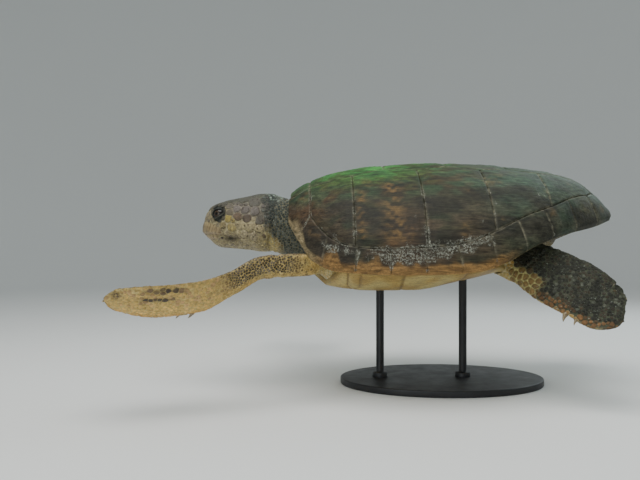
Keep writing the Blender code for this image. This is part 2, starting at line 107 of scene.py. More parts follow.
FLOOR_RADIUS = 4.5
CORNER_RADIUS = 2.5
WALL_HEIGHT = 6.0
board_paint, _, _ = material("board_paint", (0.80, 0.81, 0.80), 0.85)
bends = [k * math.pi / 32 for k in range(17)]
profile = [(FLOOR_RADIUS + CORNER_RADIUS * math.sin(bend), CORNER_RADIUS * (1 - math.cos(bend)))
           for bend in bends]
bm = turned([(0.001, 0)] + profile + [(FLOOR_RADIUS + CORNER_RADIUS, WALL_HEIGHT)], 64)
bmesh.ops.holes_fill(bm, edges=[edge for edge in bm.edges if edge.verts[0].co.xy.length < 0.01], sides=0)
bmesh.ops.recalc_face_normals(bm, faces=bm.faces)
floor = show("floor", finished("floor", bm), board_paint)

for name, place, aim, size, power, tint in (
    ("overhead", (-0.5, -0.7, 2.9), (-0.1, 0, 0.4), 2.2, 78, (1.0, 0.98, 0.94)),
    ("front_fill", (-1.3, -2.6, 1.0), (-0.2, 0, 0.4), 1.8, 20, (0.9, 0.97, 1.0)),
    ("rear_fill", (1.6, 1.4, 1.8), (0.1, 0, 0.4), 1.6, 22, (0.85, 0.97, 1.0)),
):
    lamp = bpy.data.lights.new(name, "AREA")
    lamp.size = size
    lamp.energy = power
    lamp.color = tint
    box = bpy.data.objects.new(name, lamp)
    box.location = place
    box.rotation_euler = (Vector(aim) - Vector(place)).to_track_quat("-Z", "Y").to_euler()
    bpy.context.scene.collection.objects.link(box)
world = bpy.data.worlds.new("room")
world.use_nodes = True
world.node_tree.nodes["Background"].inputs["Color"].default_value = (0.78, 0.86, 0.88, 1)
world.node_tree.nodes["Background"].inputs["Strength"].default_value = 0.42
bpy.context.scene.world = world


# ---- Skin ----
# One continuous hide over neck, head, limbs, trunk and tail, cast in resin over a carved form
# and left a little below the finished surface, so that the scales can be laid on it.

VOXEL = 0.0051
SWELL = 0.002  # closes the fine joints between the carved pieces before they are fused
HIDE_DEPTH = 0.0016  # how far the bare hide lies below the scales' tops
SLEEVE = (-0.25, 0.05)  # where the trunk is hidden by the shell all round
HEAD_REAR = -0.452
THIN_TRAILING = 0.55  # how much thinner a flipper is behind than along its leading edge
SLEEVE_HOLD = 0.004  # how far past the sleeve's ends the hide is held still
LIMB_REACH = 1.45  # how far out from a limb's middle line its hide may lie, in half sizes
LIMB_ROOTS = (0.1, 0.1, 0.16, 0.16)  # share of each limb's length that is inside the body
LIMB_SAMPLES = 161  # places down a limb where its figures are worked out
BLOCK = 20000  # how many points are compared with a limb at once
EYE = np.array((-0.61, -0.037, 0.4665))
EYE_RADIUS = 0.0185
FLESH = ("trunk", "neck", "head", "lower_jaw", "tail", "fore_flipper_left", "fore_flipper_right",
         "hind_flipper_left", "hind_flipper_right")
# The limbs from the shoulder or hip to the tip: share of the length, place, half chord, half thickness,
# then the way to the leading edge, and on which side of that the back of the flipper is
LIMBS = {
    "fore_left": (((0, (-0.29, -0.13, 0.358), 0.042, 0.033), (0.14, (-0.37, -0.19, 0.338), 0.044, 0.034),
                   (0.3, (-0.47, -0.255, 0.334), 0.039, 0.025), (0.45, (-0.545, -0.295, 0.296), 0.042, 0.018),
                   (0.6, (-0.62, -0.33, 0.264), 0.057, 0.013), (0.8, (-0.715, -0.365, 0.256), 0.06, 0.009),
                   (0.94, (-0.79, -0.39, 0.263), 0.043, 0.006), (1, (-0.821, -0.401, 0.267), 0.014, 0.0025)),
                  (0, 0.766, -0.643), -1),
    "fore_right": (((0, (-0.29, 0.13, 0.385), 0.045, 0.034), (0.14, (-0.36, 0.2, 0.382), 0.044, 0.034),
                    (0.3, (-0.42, 0.29, 0.388), 0.039, 0.025), (0.45, (-0.445, 0.37, 0.386), 0.042, 0.018),
                    (0.6, (-0.44, 0.455, 0.378), 0.057, 0.013), (0.8, (-0.405, 0.555, 0.366), 0.06, 0.009),
                    (0.94, (-0.365, 0.63, 0.358), 0.043, 0.006), (1, (-0.345, 0.665, 0.355), 0.014, 0.0025)),
                   (-1, -0.2, -0.12), 1),
    "hind_left": (((0, (0.12, -0.12, 0.362), 0.052, 0.036), (0.2, (0.185, -0.185, 0.341), 0.068, 0.032),
                   (0.42, (0.24, -0.245, 0.304), 0.073, 0.02), (0.65, (0.292, -0.293, 0.273), 0.075, 0.012),
                   (0.84, (0.322, -0.323, 0.246), 0.067, 0.008), (0.95, (0.351, -0.343, 0.239), 0.053, 0.005),
                   (1, (0.368, -0.352, 0.237), 0.03, 0.003)), (0, -0.57, -0.82), -1),
    "hind_right": (((0, (0.1, 0.13, 0.375), 0.05, 0.032), (0.2, (0.19, 0.165, 0.35), 0.064, 0.028),
                    (0.42, (0.27, 0.19, 0.338), 0.073, 0.018), (0.65, (0.35, 0.2, 0.332), 0.075, 0.012),
                    (0.84, (0.42, 0.205, 0.33), 0.068, 0.008), (0.95, (0.465, 0.205, 0.33), 0.053, 0.005),
                    (1, (0.486, 0.205, 0.331), 0.022, 0.003)), (0, 1, 0.14), 1),
}
FORE_LEFT, FORE_RIGHT, HIND_LEFT = 1, 2, 3  # the limbs' numbers, in this order; 0 is the body
# Columns of the table of figures down a limb
CENTRE, AHEAD, FORWARD, BACK = (slice(first, first + 3) for first in (0, 3, 6, 9))
CHORD, THICK = 12, 13


def through(points, at):
    """Value at one place of the smooth curve through (place, value) points, which never overshoots them."""
    places = [place for place, _ in points]
    values = [np.array(value, float) for _, value in points]
    rises = [(b - a) / (q - p) for a, b, p, q in zip(values, values[1:], places, places[1:])]
    i = min(max(bisect(places, at) - 1, 0), len(points) - 2)

    def slope(k):
        before, after = rises[max(k - 1, 0)], rises[min(k, len(rises) - 1)]
        return np.where(before * after > 0, 2 * before * after / (before + after + 1e-30), 0)

    span = places[i + 1] - places[i]
    t = min(max((at - places[i]) / span, 0.0), 1.0)
    return ((2 * t**3 - 3 * t**2 + 1) * values[i] + (t**3 - 2 * t**2 + t) * span * slope(i)
            + (3 * t**2 - 2 * t**3) * values[i + 1] + (t**3 - t**2) * span * slope(i + 1))


def step(low, high, value):
    """0 below low, 1 above high, smooth between."""
    t = np.clip((value - low) / (high - low), 0, 1)
    return t * t * (3 - 2 * t)


def cloudy(points, size, seed):
    """Soft random values from -1 to 1, with lumps about that size, the same on every run."""
    rng = np.random.default_rng(seed)
    total = np.zeros(len(points))
    for _ in range(5):
        way = rng.normal(size=(2, 3))
        way /= np.linalg.norm(way, axis=1)[:, None]
        turn = points @ way.T * (2 * math.pi / size) * rng.uniform(0.35, 0.75) + rng.uniform(0, 6.28, 2)
        total += np.sin(turn[:, 0]) * np.sin(turn[:, 1])
    return np.clip(total / 2, -1, 1)


def unit(ways):
    """The same ways, each one unit long."""
    return ways / np.maximum(np.linalg.norm(ways, axis=-1, keepdims=True), 1e-12)


def limb_table(stations, lead, dorsal):
    """Samples down a limb: share, centre, way ahead, way to the leading edge, way to the back, half sizes."""
    path = [(share, place) for share, place, _, _ in stations]
    sizes = [(share, (chord, thick)) for share, _, chord, thick in stations]
    shares = np.linspace(0, 1, LIMB_SAMPLES)
    centre = np.array([through(path, s) for s in shares])
    ahead = unit(np.gradient(centre, axis=0))
    forward = unit(np.array(lead, float) - ahead * (ahead @ np.array(lead, float))[:, None])
    back = np.cross(ahead, forward) * dorsal
    return shares, np.hstack([centre, ahead, forward, back, [through(sizes, s) for s in shares]])


limb_tables = [limb_table(*limb) for limb in LIMBS.values()]


def along_limb(table, points):
    """A limb's figures beside each point, and the point's share along, across and over it, with the
    limb's half thickness there."""
    shares, figures = table
    near = np.empty(len(points), int)
    for first in range(0, len(points), BLOCK):
        block = points[first:first + BLOCK]
        near[first:first + BLOCK] = ((block[:, None, :] - figures[None, :, CENTRE]) ** 2).sum(2).argmin(1)
    pace = np.linalg.norm(np.gradient(figures[:, CENTRE], axis=0), axis=1)[near] / (shares[1] - shares[0])
    share = shares[near] + ((points - figures[near, CENTRE]) * figures[near, AHEAD]).sum(1) / pace
    share = np.clip(share, 0, 1)
    figures = np.stack([np.interp(share, shares, column) for column in figures.T], 1)
    offset = points - figures[:, CENTRE]
    across = (offset * figures[:, FORWARD]).sum(1) / figures[:, CHORD]
    thick = figures[:, THICK] * (1 - THIN_TRAILING * (1 - np.clip(across, -1, 1)) / 2)
    return figures, share, across, (offset * figures[:, BACK]).sum(1) / thick, thick


def place_on_body(points):
    """Which limb each point of the hide is on (0 for none), how far along it, across it and over its back."""
    part = np.zeros(len(points), int)
    share, across, height = np.zeros((3, len(points)))
    best = np.full(len(points), LIMB_REACH)
    for number, (table, root) in enumerate(zip(limb_tables, LIMB_ROOTS), 1):
        _, s, a, h, _ = along_limb(table, points)
        mine = (np.hypot(a, h) < best) & (s > root)
        part[mine], share[mine], across[mine], height[mine] = number, s[mine], a[mine], h[mine]
        best[mine] = np.hypot(a, h)[mine]
    return part, share, across, height


def relax(co, edges, amount, times):
    """Moves each point a share of the way to the mean of its neighbours, that many times."""
    count = np.maximum(np.bincount(edges.ravel(), minlength=len(co)), 1).astype(float)
    both = np.concatenate([edges, edges[:, ::-1]])
    for _ in range(times):
        mean = np.stack([np.bincount(both[:, 0], co[both[:, 1], axis], len(co)) for axis in range(3)], 1)
        co = co + (mean / count[:, None] - co) * amount[:, None]
    return co


def read(items, key, columns, kind=float):
    """What each of a mesh's items holds under that key, as rows of an array."""
    values = np.empty(len(items) * columns, kind)
    items.foreach_get(key, values)
    return values.reshape(-1, columns)


def coordinates(mesh):
    return read(mesh.vertices, "co", 3)


def move_to(mesh, co):
    mesh.vertices.foreach_set("co", co.ravel())
    mesh.update()


def normals(mesh):
    return read(mesh.vertex_normals, "vector", 3)


def solid_tree(name):
    """A tree for casting rays at one of the CAD solids."""
    bm = bmesh.new()
    bm.from_mesh(nodes[name].data)
    tree = BVHTree.FromBMesh(bm)
    bm.free()
    return tree


def from_eye(points, middle=EYE):
    """Distance of each point from the eye on its own side, or from another place given on the left."""
    return np.linalg.norm(points * (1, 0, 1) - np.abs(points) * (0, 1, 0) - middle, axis=1)


def in_sleeve(points, margin=SLEEVE_HOLD):
    """Whether each point is on the plain sleeve under the shell, or within a margin of its ends."""
    return (points[:, 0] > SLEEVE[0] - margin) & (points[:, 0] < SLEEVE[1] + margin)


bm = bmesh.new()
for name in FLESH:
    piece = bmesh.new()
    piece.from_mesh(nodes[name].data)
    bmesh.ops.remove_doubles(piece, verts=piece.verts, dist=1e-5)
    piece.normal_update()
    swollen = [vert.co + vert.normal * SWELL * min(vert.calc_shell_factor(), 2) for vert in piece.verts]
    for vert, place in zip(piece.verts, swollen):
        vert.co = place
    part_mesh = finished("carved", piece)
    bm.from_mesh(part_mesh)
    bpy.data.meshes.remove(part_mesh)
carved = bpy.data.objects.new("carved", finished("carved", bm))
bpy.context.scene.collection.objects.link(carved)
fuse = carved.modifiers.new("fuse", "REMESH")
fuse.mode = "VOXEL"
fuse.voxel_size = VOXEL
fused = bpy.data.meshes.new_from_object(carved.evaluated_get(bpy.context.evaluated_depsgraph_get()))
bpy.data.objects.remove(carved)

bm = bmesh.new()
bm.from_mesh(fused)
bpy.data.meshes.remove(fused)
# the hidden middle of the trunk becomes one plain sleeve
for x in SLEEVE:
    bmesh.ops.bisect_plane(bm, geom=bm.verts[:] + bm.edges[:] + bm.faces[:], plane_co=(x, 0, 0),
                           plane_no=(1, 0, 0), dist=1e-6)
hidden = [face for face in bm.faces if SLEEVE[0] < face.calc_center_median().x < SLEEVE[1]]
bmesh.ops.delete(bm, geom=hidden, context="FACES")
open_edges = [edge for edge in bm.edges if edge.is_boundary]
bmesh.ops.bridge_loops(bm, edges=open_edges)
# the head is worked twice as fine
head_edges = [edge for edge in bm.edges if all(vert.co.x < HEAD_REAR for vert in edge.verts)]
bmesh.ops.subdivide_edges(bm, edges=head_edges, cuts=1, use_grid_fill=True)
bmesh.ops.triangulate(bm, faces=[face for face in bm.faces if len(face.verts) > 4])
bmesh.ops.recalc_face_normals(bm, faces=bm.faces)
hide = finished("skin", bm)

points = coordinates(hide)
edges = read(hide.edges, "vertices", 2, int)
part, share, across, height = place_on_body(points)
# joints between limb, trunk and neck flow into each other
soft = np.full(len(points), 0.35)
soft[in_sleeve(points)] = 0
soft[from_eye(points) < 0.026] = 0.12
points = relax(points, edges, soft, 12)
soft = 0.5 * step(-0.49, -0.465, points[:, 0]) * (1 - step(-0.36, -0.31, points[:, 0])) * (part == 0)
soft += 0.5 * (part > 0) * (1 - step(0.15, 0.3, share))
soft[in_sleeve(points)] = 0
points = relax(points, edges, soft, 40)
# under the neck and the rump the hide comes down to the plastron's inner face all round
belly_tree = solid_tree("plastron")
ends = (part == 0) & ~in_sleeve(points, 0.003) & (points[:, 2] < 0.42)
for _ in range(4):
    move_to(hide, points)
    for number in np.flatnonzero(ends & (normals(hide)[:, 2] < -0.2)):
        start = Vector(points[number]) + Vector((0, 0, 0.004))
        below, _, _, _ = belly_tree.ray_cast(start, Vector((0, 0, -1)), 0.06)
        if below:
            points[number, 2] = below.z - 0.003
    points = relax(points, edges, 0.4 * (ends & (points[:, 0] > -0.4)), 2)
move_to(hide, points)
points = points - normals(hide) * (SWELL + HIDE_DEPTH)
# the free length of each limb takes its true section, sharp behind and round in front
for number, table in enumerate(limb_tables, 1):
    mine = np.flatnonzero((part == number) & (share > 0.25))
    figures, s, a, h, thick = along_limb(table, points[mine])
    size = np.maximum(np.hypot(a, h), 0.05)
    chord = figures[:, CHORD] - HIDE_DEPTH * 0.6
    if number >= HIND_LEFT:  # the toes stand out behind as low lobes
        chord = chord * (1 - 0.05 * (a < 0) * step(0.4, 0.6, s) * np.abs(np.sin(s * 17)))
    thick = np.maximum(thick - HIDE_DEPTH * 0.6, 0.0012)
    true = (figures[:, CENTRE] + figures[:, FORWARD] * (a / size * chord)[:, None]
            + figures[:, BACK] * (h / size * thick)[:, None])
    keep = step(0.25, 0.4, s) * (1 - step(0.97, 0.995, s))
    points[mine] += (true - points[mine]) * keep[:, None]
move_to(hide, points)


# ---- Modelling of the hide ----
# Folds are pressed into the neck and the arm pits, the jaw muscle stands out behind the mouth,
# and a rim of skin rises round each eye. The mouth is a groove between the two horny jaws.

MOUTH_LINE = ((-0.665, 0.4115), (-0.64, 0.4125), (-0.6, 0.4085), (-0.575, 0.4015), (-0.556, 0.3975))
MOUTH_CORNER = -0.557
NOSTRIL = np.array((-0.6535, -0.0105, 0.4665))
# Folds across the neck: place, depth, width
NECK_FOLDS = ((-0.462, 0.003, 0.006), (-0.444, 0.0022, 0.005), (-0.425, 0.0034, 0.007),
              (-0.408, 0.002, 0.005))


def mouth_height(x):
    """Height of the line where the jaws meet."""
    return np.interp(x, *zip(*MOUTH_LINE))


points = coordinates(hide)
out = normals(hide)
push = np.zeros(len(points))
x, y, z = points.T
body = part == 0
on_head = body * (1 - step(-0.468, -0.45, x))
# the mouth
mouth_gap = np.abs(z - mouth_height(x))
lips = on_head * (1 - step(MOUTH_CORNER - 0.004, MOUTH_CORNER + 0.004, x))
push -= lips * 0.005 * np.exp(-(mouth_gap / 0.003) ** 2)
push += lips * 0.0012 * np.exp(-((mouth_gap - 0.007) / 0.003) ** 2)
corner = np.hypot(x - MOUTH_CORNER + 0.004, (z - 0.3965) * 1.4)
push -= on_head * 0.003 * np.exp(-(corner / 0.009) ** 2)
# jaw muscle and temple, with a furrow between them
at_side = step(0.03, 0.055, np.abs(y))
bulge = np.hypot((x + 0.512) / 0.034, (z - 0.412) / 0.036)
push += on_head * 0.0045 * np.exp(-bulge**2) * at_side
temple = np.hypot((x + 0.545) / 0.03, (z - 0.475) / 0.022)
push += on_head * 0.0025 * np.exp(-temple**2) * at_side
furrow = np.exp(-((z - 0.447 - 0.25 * (x + 0.55)) / 0.006) ** 2)
push -= on_head * 0.0018 * furrow * step(-0.585, -0.56, x) * step(0.03, 0.05, np.abs(y))
# rims of the eye sockets, the brow over them and the hollow before them
for side in (1, -1):
    eye = EYE * (1, side, 1)
    away = np.linalg.norm(points - eye, axis=1)
    above = (z - eye[2]) / np.maximum(away, 1e-6)
    ring = np.exp(-((away - EYE_RADIUS - 0.005) / 0.0048) ** 2)
    push += on_head * ring * (0.0008 + 0.0026 * np.clip(above, -0.3, 1))
    hollow = np.linalg.norm(points - (eye + np.array((-0.027, 0.004 * side, -0.008))), axis=1)
    push -= on_head * 0.0018 * np.exp(-(hollow / 0.011) ** 2)
    nostril = np.linalg.norm(points - NOSTRIL * (1, side, 1), axis=1)
    push += on_head * 0.001 * np.exp(-((nostril - 0.0055) / 0.002) ** 2)
    push -= on_head * 0.006 * np.exp(-(nostril / 0.0028) ** 2)
# folds across the neck, deeper below, and loose skin where the limbs leave the body
wave = cloudy(points, 0.09, 3) * 0.006
for at, deep, wide in NECK_FOLDS:
    fold = np.exp(-((x + wave - at - 0.12 * (z - 0.44)) / wide) ** 2)
    push -= body * deep * fold * (0.45 + 0.55 * (1 - step(0.38, 0.5, z)))
root = (part > 0) * np.exp(-((share - 0.26) / 0.055) ** 2)
push -= 0.0014 * root * np.sin(share * 150 + across * 2.5 + wave * 300)
# bone and muscle swell under the skin of the blades, and a few creases cross the tips
free = (part > 0) * step(0.35, 0.5, share) * (1 - step(0.9, 1, share)) * (np.abs(across) < 0.93)
push += free * 0.0011 * np.cos((across * 2.4 + share * 1.3) * math.pi)
crease = np.abs(np.sin((share * 9 + across * 0.55) * math.pi))
push -= free * (part <= FORE_RIGHT) * step(0.76, 0.84, share) * 0.0012 * np.exp(-(crease / 0.16) ** 2)
push += 0.0006 * cloudy(points, 0.03, 9) * body
points = points + out * push[:, None]
move_to(hide, points)
out = normals(hide)


# ---- Colours of the hide ----
# Hide and scales are sprayed with one set of markings: yellow below, dark brown scales with pale
# skin between them above, a lilac-grey temple and crown, and yellow cheeks with small spots.
# The markings also hold painted shade in the eye sockets and the mouth's corners, and a painted highlight
# along the neck's top.

YELLOW = (0.52, 0.40, 0.15)
CREAM = (0.60, 0.53, 0.32)
ORANGE = (0.50, 0.27, 0.06)
BROWN = (0.105, 0.068, 0.036)
NEAR_BLACK = (0.024, 0.024, 0.019)
DARK = (0.05, 0.042, 0.03)
LILAC = (0.23, 0.205, 0.19)
TEAL = (0.032, 0.042, 0.038)
OCHRE = (0.44, 0.33, 0.06)
RUST = (0.22, 0.10, 0.05)
SPOT_BROWN = (0.1, 0.06, 0.04)
PALE_LINE = (0.075, 0.085, 0.055)  # the skin between the dark scales of the hind flippers
# Dark spots on the cheeks: x, z, radius
SPOTS = ((-0.532, 0.4265, 0.0042), (-0.5225, 0.454, 0.004), (-0.534, 0.456, 0.003), (-0.541, 0.402, 0.0036),
         (-0.548, 0.407, 0.003), (-0.488, 0.41, 0.0038), (-0.535, 0.382, 0.003), (-0.597, 0.385, 0.004),
         (-0.506, 0.436, 0.003), (-0.512, 0.394, 0.0028), (-0.563, 0.437, 0.003), (-0.5, 0.462, 0.0034))


def lay(colour, onto, weight):
    """A colour laid over others, each covered to the extent of its weight."""
    return onto + (np.array(colour) - onto) * np.clip(weight, 0, 1)[:, None]


def band(value, middle, half):
    """1 at the middle, and fading out on both sides over that half width."""
    return np.exp(-((value - middle) / half) ** 2)


def markings(points, part, share, across, height):
    """The colour of a scale, and of the skin between the scales, at each point of the hide."""
    x, y, z = points.T
    broad, fine, speck = cloudy(points, 0.06, 21), cloudy(points, 0.02, 22), cloudy(points, 0.011, 23)
    scale, gap = np.tile(YELLOW, (len(points), 1)), np.tile(CREAM, (len(points), 1))
    scale = lay(ORANGE, scale, 0.3 + 0.3 * broad)
    fore, hind = (part == FORE_LEFT) | (part == FORE_RIGHT), part >= HIND_LEFT
    over, under = step(-0.15, 0.3, height), 1 - step(-0.15, 0.3, height)

    # under the fore flippers: grey arm with round dark scales behind, rows of dark scales on the blade
    arm = fore * under * step(0.16, 0.24, share) * (1 - step(0.48, 0.6, share)) * step(-0.3, 0, -across)
    scale, gap = lay((0.13, 0.115, 0.105), scale, arm * 0.9), lay((0.19, 0.165, 0.135), gap, arm * 0.8)
    scale = lay(DARK, scale, arm * step(-0.35, 0.1, speck) * 0.9)
    blade = fore * under * step(0.42, 0.58, share)
    scale, gap = lay((0.78, 0.53, 0.16), scale, blade * 0.8), lay((0.68, 0.50, 0.18), gap, fore * under * 0.8)
    scale = lay((0.36, 0.19, 0.13), scale, blade * 0.6 * step(0, 0.7, fine) * step(-0.7, -0.1, -across))
    rows = band(across, -0.72, 0.15) * step(0.55, 0.76, share) * (1 - step(0.84, 0.87, share))
    rows = rows + band(across, -0.2, 0.13) * step(0.66, 0.75, share) * (1 - step(0.83, 0.9, share))
    rows = rows + band(share, 0.95, 0.022) * band(across, -0.45, 0.4) * 0.9
    scale = lay((0.06, 0.045, 0.035), scale, blade * rows * step(-1.5, -0.4, fine) * 1.1)
    gap = lay(DARK, gap, blade * rows * 0.5)
    scale = lay((0.66, 0.34, 0.06), scale, fore * step(0.55, 0.85, across) * step(0.4, 0.6, share) * 0.8)
    scale = lay(BROWN, scale, fore * under * (1 - step(0.2, 0.5, share)) * step(0.45, 0.75, speck) * 0.7)

    # backs of the fore flippers: brown scales that fade to yellow at the leading edge
    back = fore * over * (1 - 0.75 * step(0.75, 0.95, across))
    back = back * (1 - step(0.86, 0.97, -across) * step(0.45, 0.6, share))
    scale = lay(BROWN, scale, back * (0.85 + 0.15 * fine))
    scale = lay(DARK, scale, back * 0.5 * step(-0.2, 0.5, broad))
    gap = lay((0.40, 0.32, 0.17), gap, back)

    # hind flippers: near black over and round behind, rust along the leading edge, large scales at the knee
    behind = hind * under * step(0.1, 0.6, -across + 0.3 * broad)
    scale, gap = lay(BROWN, scale, behind * 0.8), lay(YELLOW, gap, behind * 0.5)
    over = np.maximum(over, hind * np.maximum(step(0.6, 0.75, -across), step(0.86, 0.93, share)))
    scale = lay(NEAR_BLACK, scale, hind * over)
    scale = lay(BROWN, scale, hind * over * 0.25 * step(0.1, 0.7, fine))
    scale = lay((0.2, 0.22, 0.17), scale, hind * over * 0.4 * step(0.8, 0.95, speck))
    gap = lay(PALE_LINE, gap, hind * over)
    gap = lay(NEAR_BLACK, gap, hind * over * 0.75 * step(-0.2, 0.5, -fine))
    edge = hind * step(0.6, 0.92, across + 0.12 * fine) * step(0.3, 0.42, share)
    scale = lay((0.24, 0.12, 0.045), scale, edge * over * 0.85)
    knee = hind * over * (1 - step(0.34, 0.42, share)) * step(0.25, 0.5, across)
    scale, gap = lay((0.23, 0.15, 0.055), scale, knee), lay((0.55, 0.5, 0.22), gap, knee)

    # head: yellow cheeks with spots, ochre behind the eye, lilac temple, dark crown, and painted shade in the
    # eye socket and at the mouth's corner
    body = part == 0
    head = body * (1 - step(-0.47, -0.44, x))
    scale, gap = lay((0.47, 0.39, 0.21), scale, head), lay((0.43, 0.37, 0.22), gap, head)
    scale = lay((0.27, 0.23, 0.19), scale, head * 0.7 * step(0.15, 0.6, fine) * (1 - step(-0.53, -0.49, x)))
    scale = lay((0.2, 0.17, 0.13), scale, head * 0.6 * (1 - step(-0.605, -0.595, x)) * step(-0.3, 0.4, speck))
    scale = lay(OCHRE, scale, head * band(np.hypot((x + 0.583) / 0.017, (z - 0.447) / 0.024), 0, 1) * 1.2)
    scale = lay(OCHRE, scale, head * step(-0.52, -0.47, x) * (1 - step(0.40, 0.43, z)) * 0.5)
    for spot_x, spot_z, radius in SPOTS:
        mark = head * (1 - step(0.7, 1.2, np.hypot(x - spot_x, z - spot_z) / radius)) * (np.abs(y) > 0.03)
        scale, gap = lay(SPOT_BROWN, scale, mark * 0.9), lay(SPOT_BROWN, gap, mark * 0.9)
    lips = head * band(z - mouth_height(x), 0, 0.012) * (1 - step(-0.56, -0.54, x))
    scale = lay((0.2, 0.16, 0.11), scale, lips * 0.5)
    # painted shadow: the mouth's corner is painted dark, for the shade that falls into it
    corner = head * band(np.hypot((x + 0.577) / 0.02, (z - 0.401) / 0.008), 0, 1)
    scale, gap = lay(DARK, scale, corner), lay(DARK, gap, corner)
    temple = head * step(0.447, 0.468, z + 0.12 * (x + 0.55) + 0.006 * fine) * step(-0.595, -0.57, x)
    scale, gap = lay((0.19, 0.165, 0.15), scale, temple), lay(LILAC, gap, temple * 0.7)
    scale = lay(DARK, scale, temple * step(-0.2, 0.4, fine) * 0.75)
    scale = lay(RUST, scale, head * band(np.hypot((x + 0.563) / 0.009, (z - 0.463) / 0.008), 0, 1) * 0.8)
    crown = head * step(0.488, 0.506, z + 0.18 * np.clip(-0.56 - x, 0, 0.1))
    scale, gap = lay((0.055, 0.062, 0.045), scale, crown * 0.92), lay((0.12, 0.13, 0.09), gap, crown * 0.9)
    # painted shade: the socket round the eye and a teardrop patch over it up to the brow are painted near
    # black, for the shadow the brow casts into the socket
    painted_eye_shade = head * (1 - step(EYE_RADIUS + 0.004, EYE_RADIUS + 0.0085, from_eye(points)))
    mask = 1 - step(0.8, 1.1, np.hypot((x + 0.612 + 0.2 * (z - 0.478)) / 0.0215, (z - 0.478) / 0.0285))
    painted_eye_shade = np.maximum(painted_eye_shade, head * mask * step(0.012, 0.026, np.abs(y)))
    scale, gap = lay((0.028, 0.034, 0.03), scale, painted_eye_shade), lay(NEAR_BLACK, gap, painted_eye_shade)

    # neck: dark above and at the sides, yellow below, with pale grains along the top that are partly algae
    # and partly a painted highlight where the light falls
    nape = -0.492 + 0.77 * np.clip(0.442 - z, 0, 0.06)
    neck = body * step(-0.012, 0.014, x - nape + 0.006 * fine) * (1 - step(-0.25, -0.2, x))
    neck = neck * step(0.333, 0.347, z + 0.006 * fine)
    scale, gap = lay(TEAL, scale, neck), lay(TEAL, gap, neck * 0.75)
    scale = lay((0.13, 0.14, 0.12), scale, neck * step(0.25, 0.6, speck) * 0.7)
    # pale specks on the neck's top only: algae grains, and also a painted highlight for the light from above
    grains_and_highlight = body * (1 - step(-0.3, -0.25, x)) * step(-0.53, -0.49, x) * step(0.495, 0.518, z)
    scale = lay((0.42, 0.52, 0.44), scale, grains_and_highlight * step(-0.3, 0.4, speck) * 0.75)
    # round the tail: dark over, yellow under
    rump = body * step(0.1, 0.16, x) * step(0.36, 0.40, z)
    scale, gap = lay(DARK, scale, rump * 0.9), lay(PALE_LINE, gap, rump * 0.7)
    scale = scale * (1 + 0.14 * fine + 0.08 * broad)[:, None]
    return np.clip(scale, 0, 1), np.clip(gap, 0, 1)


def add_tint(mesh, colours):
    """Stores a colour for each point of a mesh, which its material reads as "tint"."""
    layer = mesh.attributes.new("tint", "FLOAT_COLOR", "POINT")
    layer.data.foreach_set("color", np.hstack([colours, np.ones((len(colours), 1))]).astype("f").ravel())


def node(tree, kind, **settings):
    """A new node with its settings, and its inputs by name where those are given as input_NAME."""
    made = tree.nodes.new(kind)
    for key, value in settings.items():
        if key.startswith("input_"):
            made.inputs[key[6:].replace("_", " ")].default_value = value
        else:
            setattr(made, key, value)
    return made


def painted(tree, layer, output="Color"):
    """What is stored at each point of a mesh under that name."""
    return node(tree, "ShaderNodeAttribute", attribute_name=layer).outputs[output]


def noise(tree, scale, detail=3.0, roughness=0.55, stretch=None):
    """Noise on Object coordinates, drawn out by stretch."""
    place = node(tree, "ShaderNodeTexCoord").outputs["Object"]
    if stretch:
        mapping = node(tree, "ShaderNodeMapping", input_Scale=stretch)
        tree.links.new(place, mapping.inputs["Vector"])
        place = mapping.outputs["Vector"]
    grain = node(tree, "ShaderNodeTexNoise", input_Scale=scale, input_Detail=detail,
                 input_Roughness=roughness)
    tree.links.new(place, grain.inputs["Vector"])
    return grain.outputs["Fac"]


def spread(tree, value, low, high, to_low=0.0, to_high=1.0):
    """A value's range low to high drawn out to another range, and held at its ends."""
    ranged = node(tree, "ShaderNodeMapRange")
    tree.links.new(value, ranged.inputs["Value"])
    for name, number in zip(("From Min", "From Max", "To Min", "To Max"), (low, high, to_low, to_high)):
        ranged.inputs[name].default_value = number
    return ranged.outputs["Result"]


def mix(tree, share, first, second, kind="MIX"):
    """Two colours mixed by a share. Each is another node's output, a number or a colour."""
    made = node(tree, "ShaderNodeMix", data_type="RGBA", blend_type=kind)
    for place, value in ((0, share), (6, first), (7, second)):
        if isinstance(value, bpy.types.NodeSocket):
            tree.links.new(value, made.inputs[place])
        else:
            made.inputs[place].default_value = value if place == 0 else (*value, 1)
    return made.outputs[2]


def bump(tree, shader, height, distance, under=None):
    """Fine relief of that depth in the material, on top of the relief under it."""
    relief = node(tree, "ShaderNodeBump", input_Distance=distance)
    tree.links.new(height, relief.inputs["Height"])
    if under:
        tree.links.new(under, relief.inputs["Normal"])
    tree.links.new(relief.outputs["Normal"], shader.inputs["Normal"])
    return relief.outputs["Normal"]


def grained(tree, shader, colour, grain, smoothest, roughest):
    """Gives a material its colour, and a roughness that follows a noise between two values."""
    tree.links.new(colour, shader.inputs["Base Color"])
    tree.links.new(spread(tree, grain, 0.3, 0.7, smoothest, roughest), shader.inputs["Roughness"])


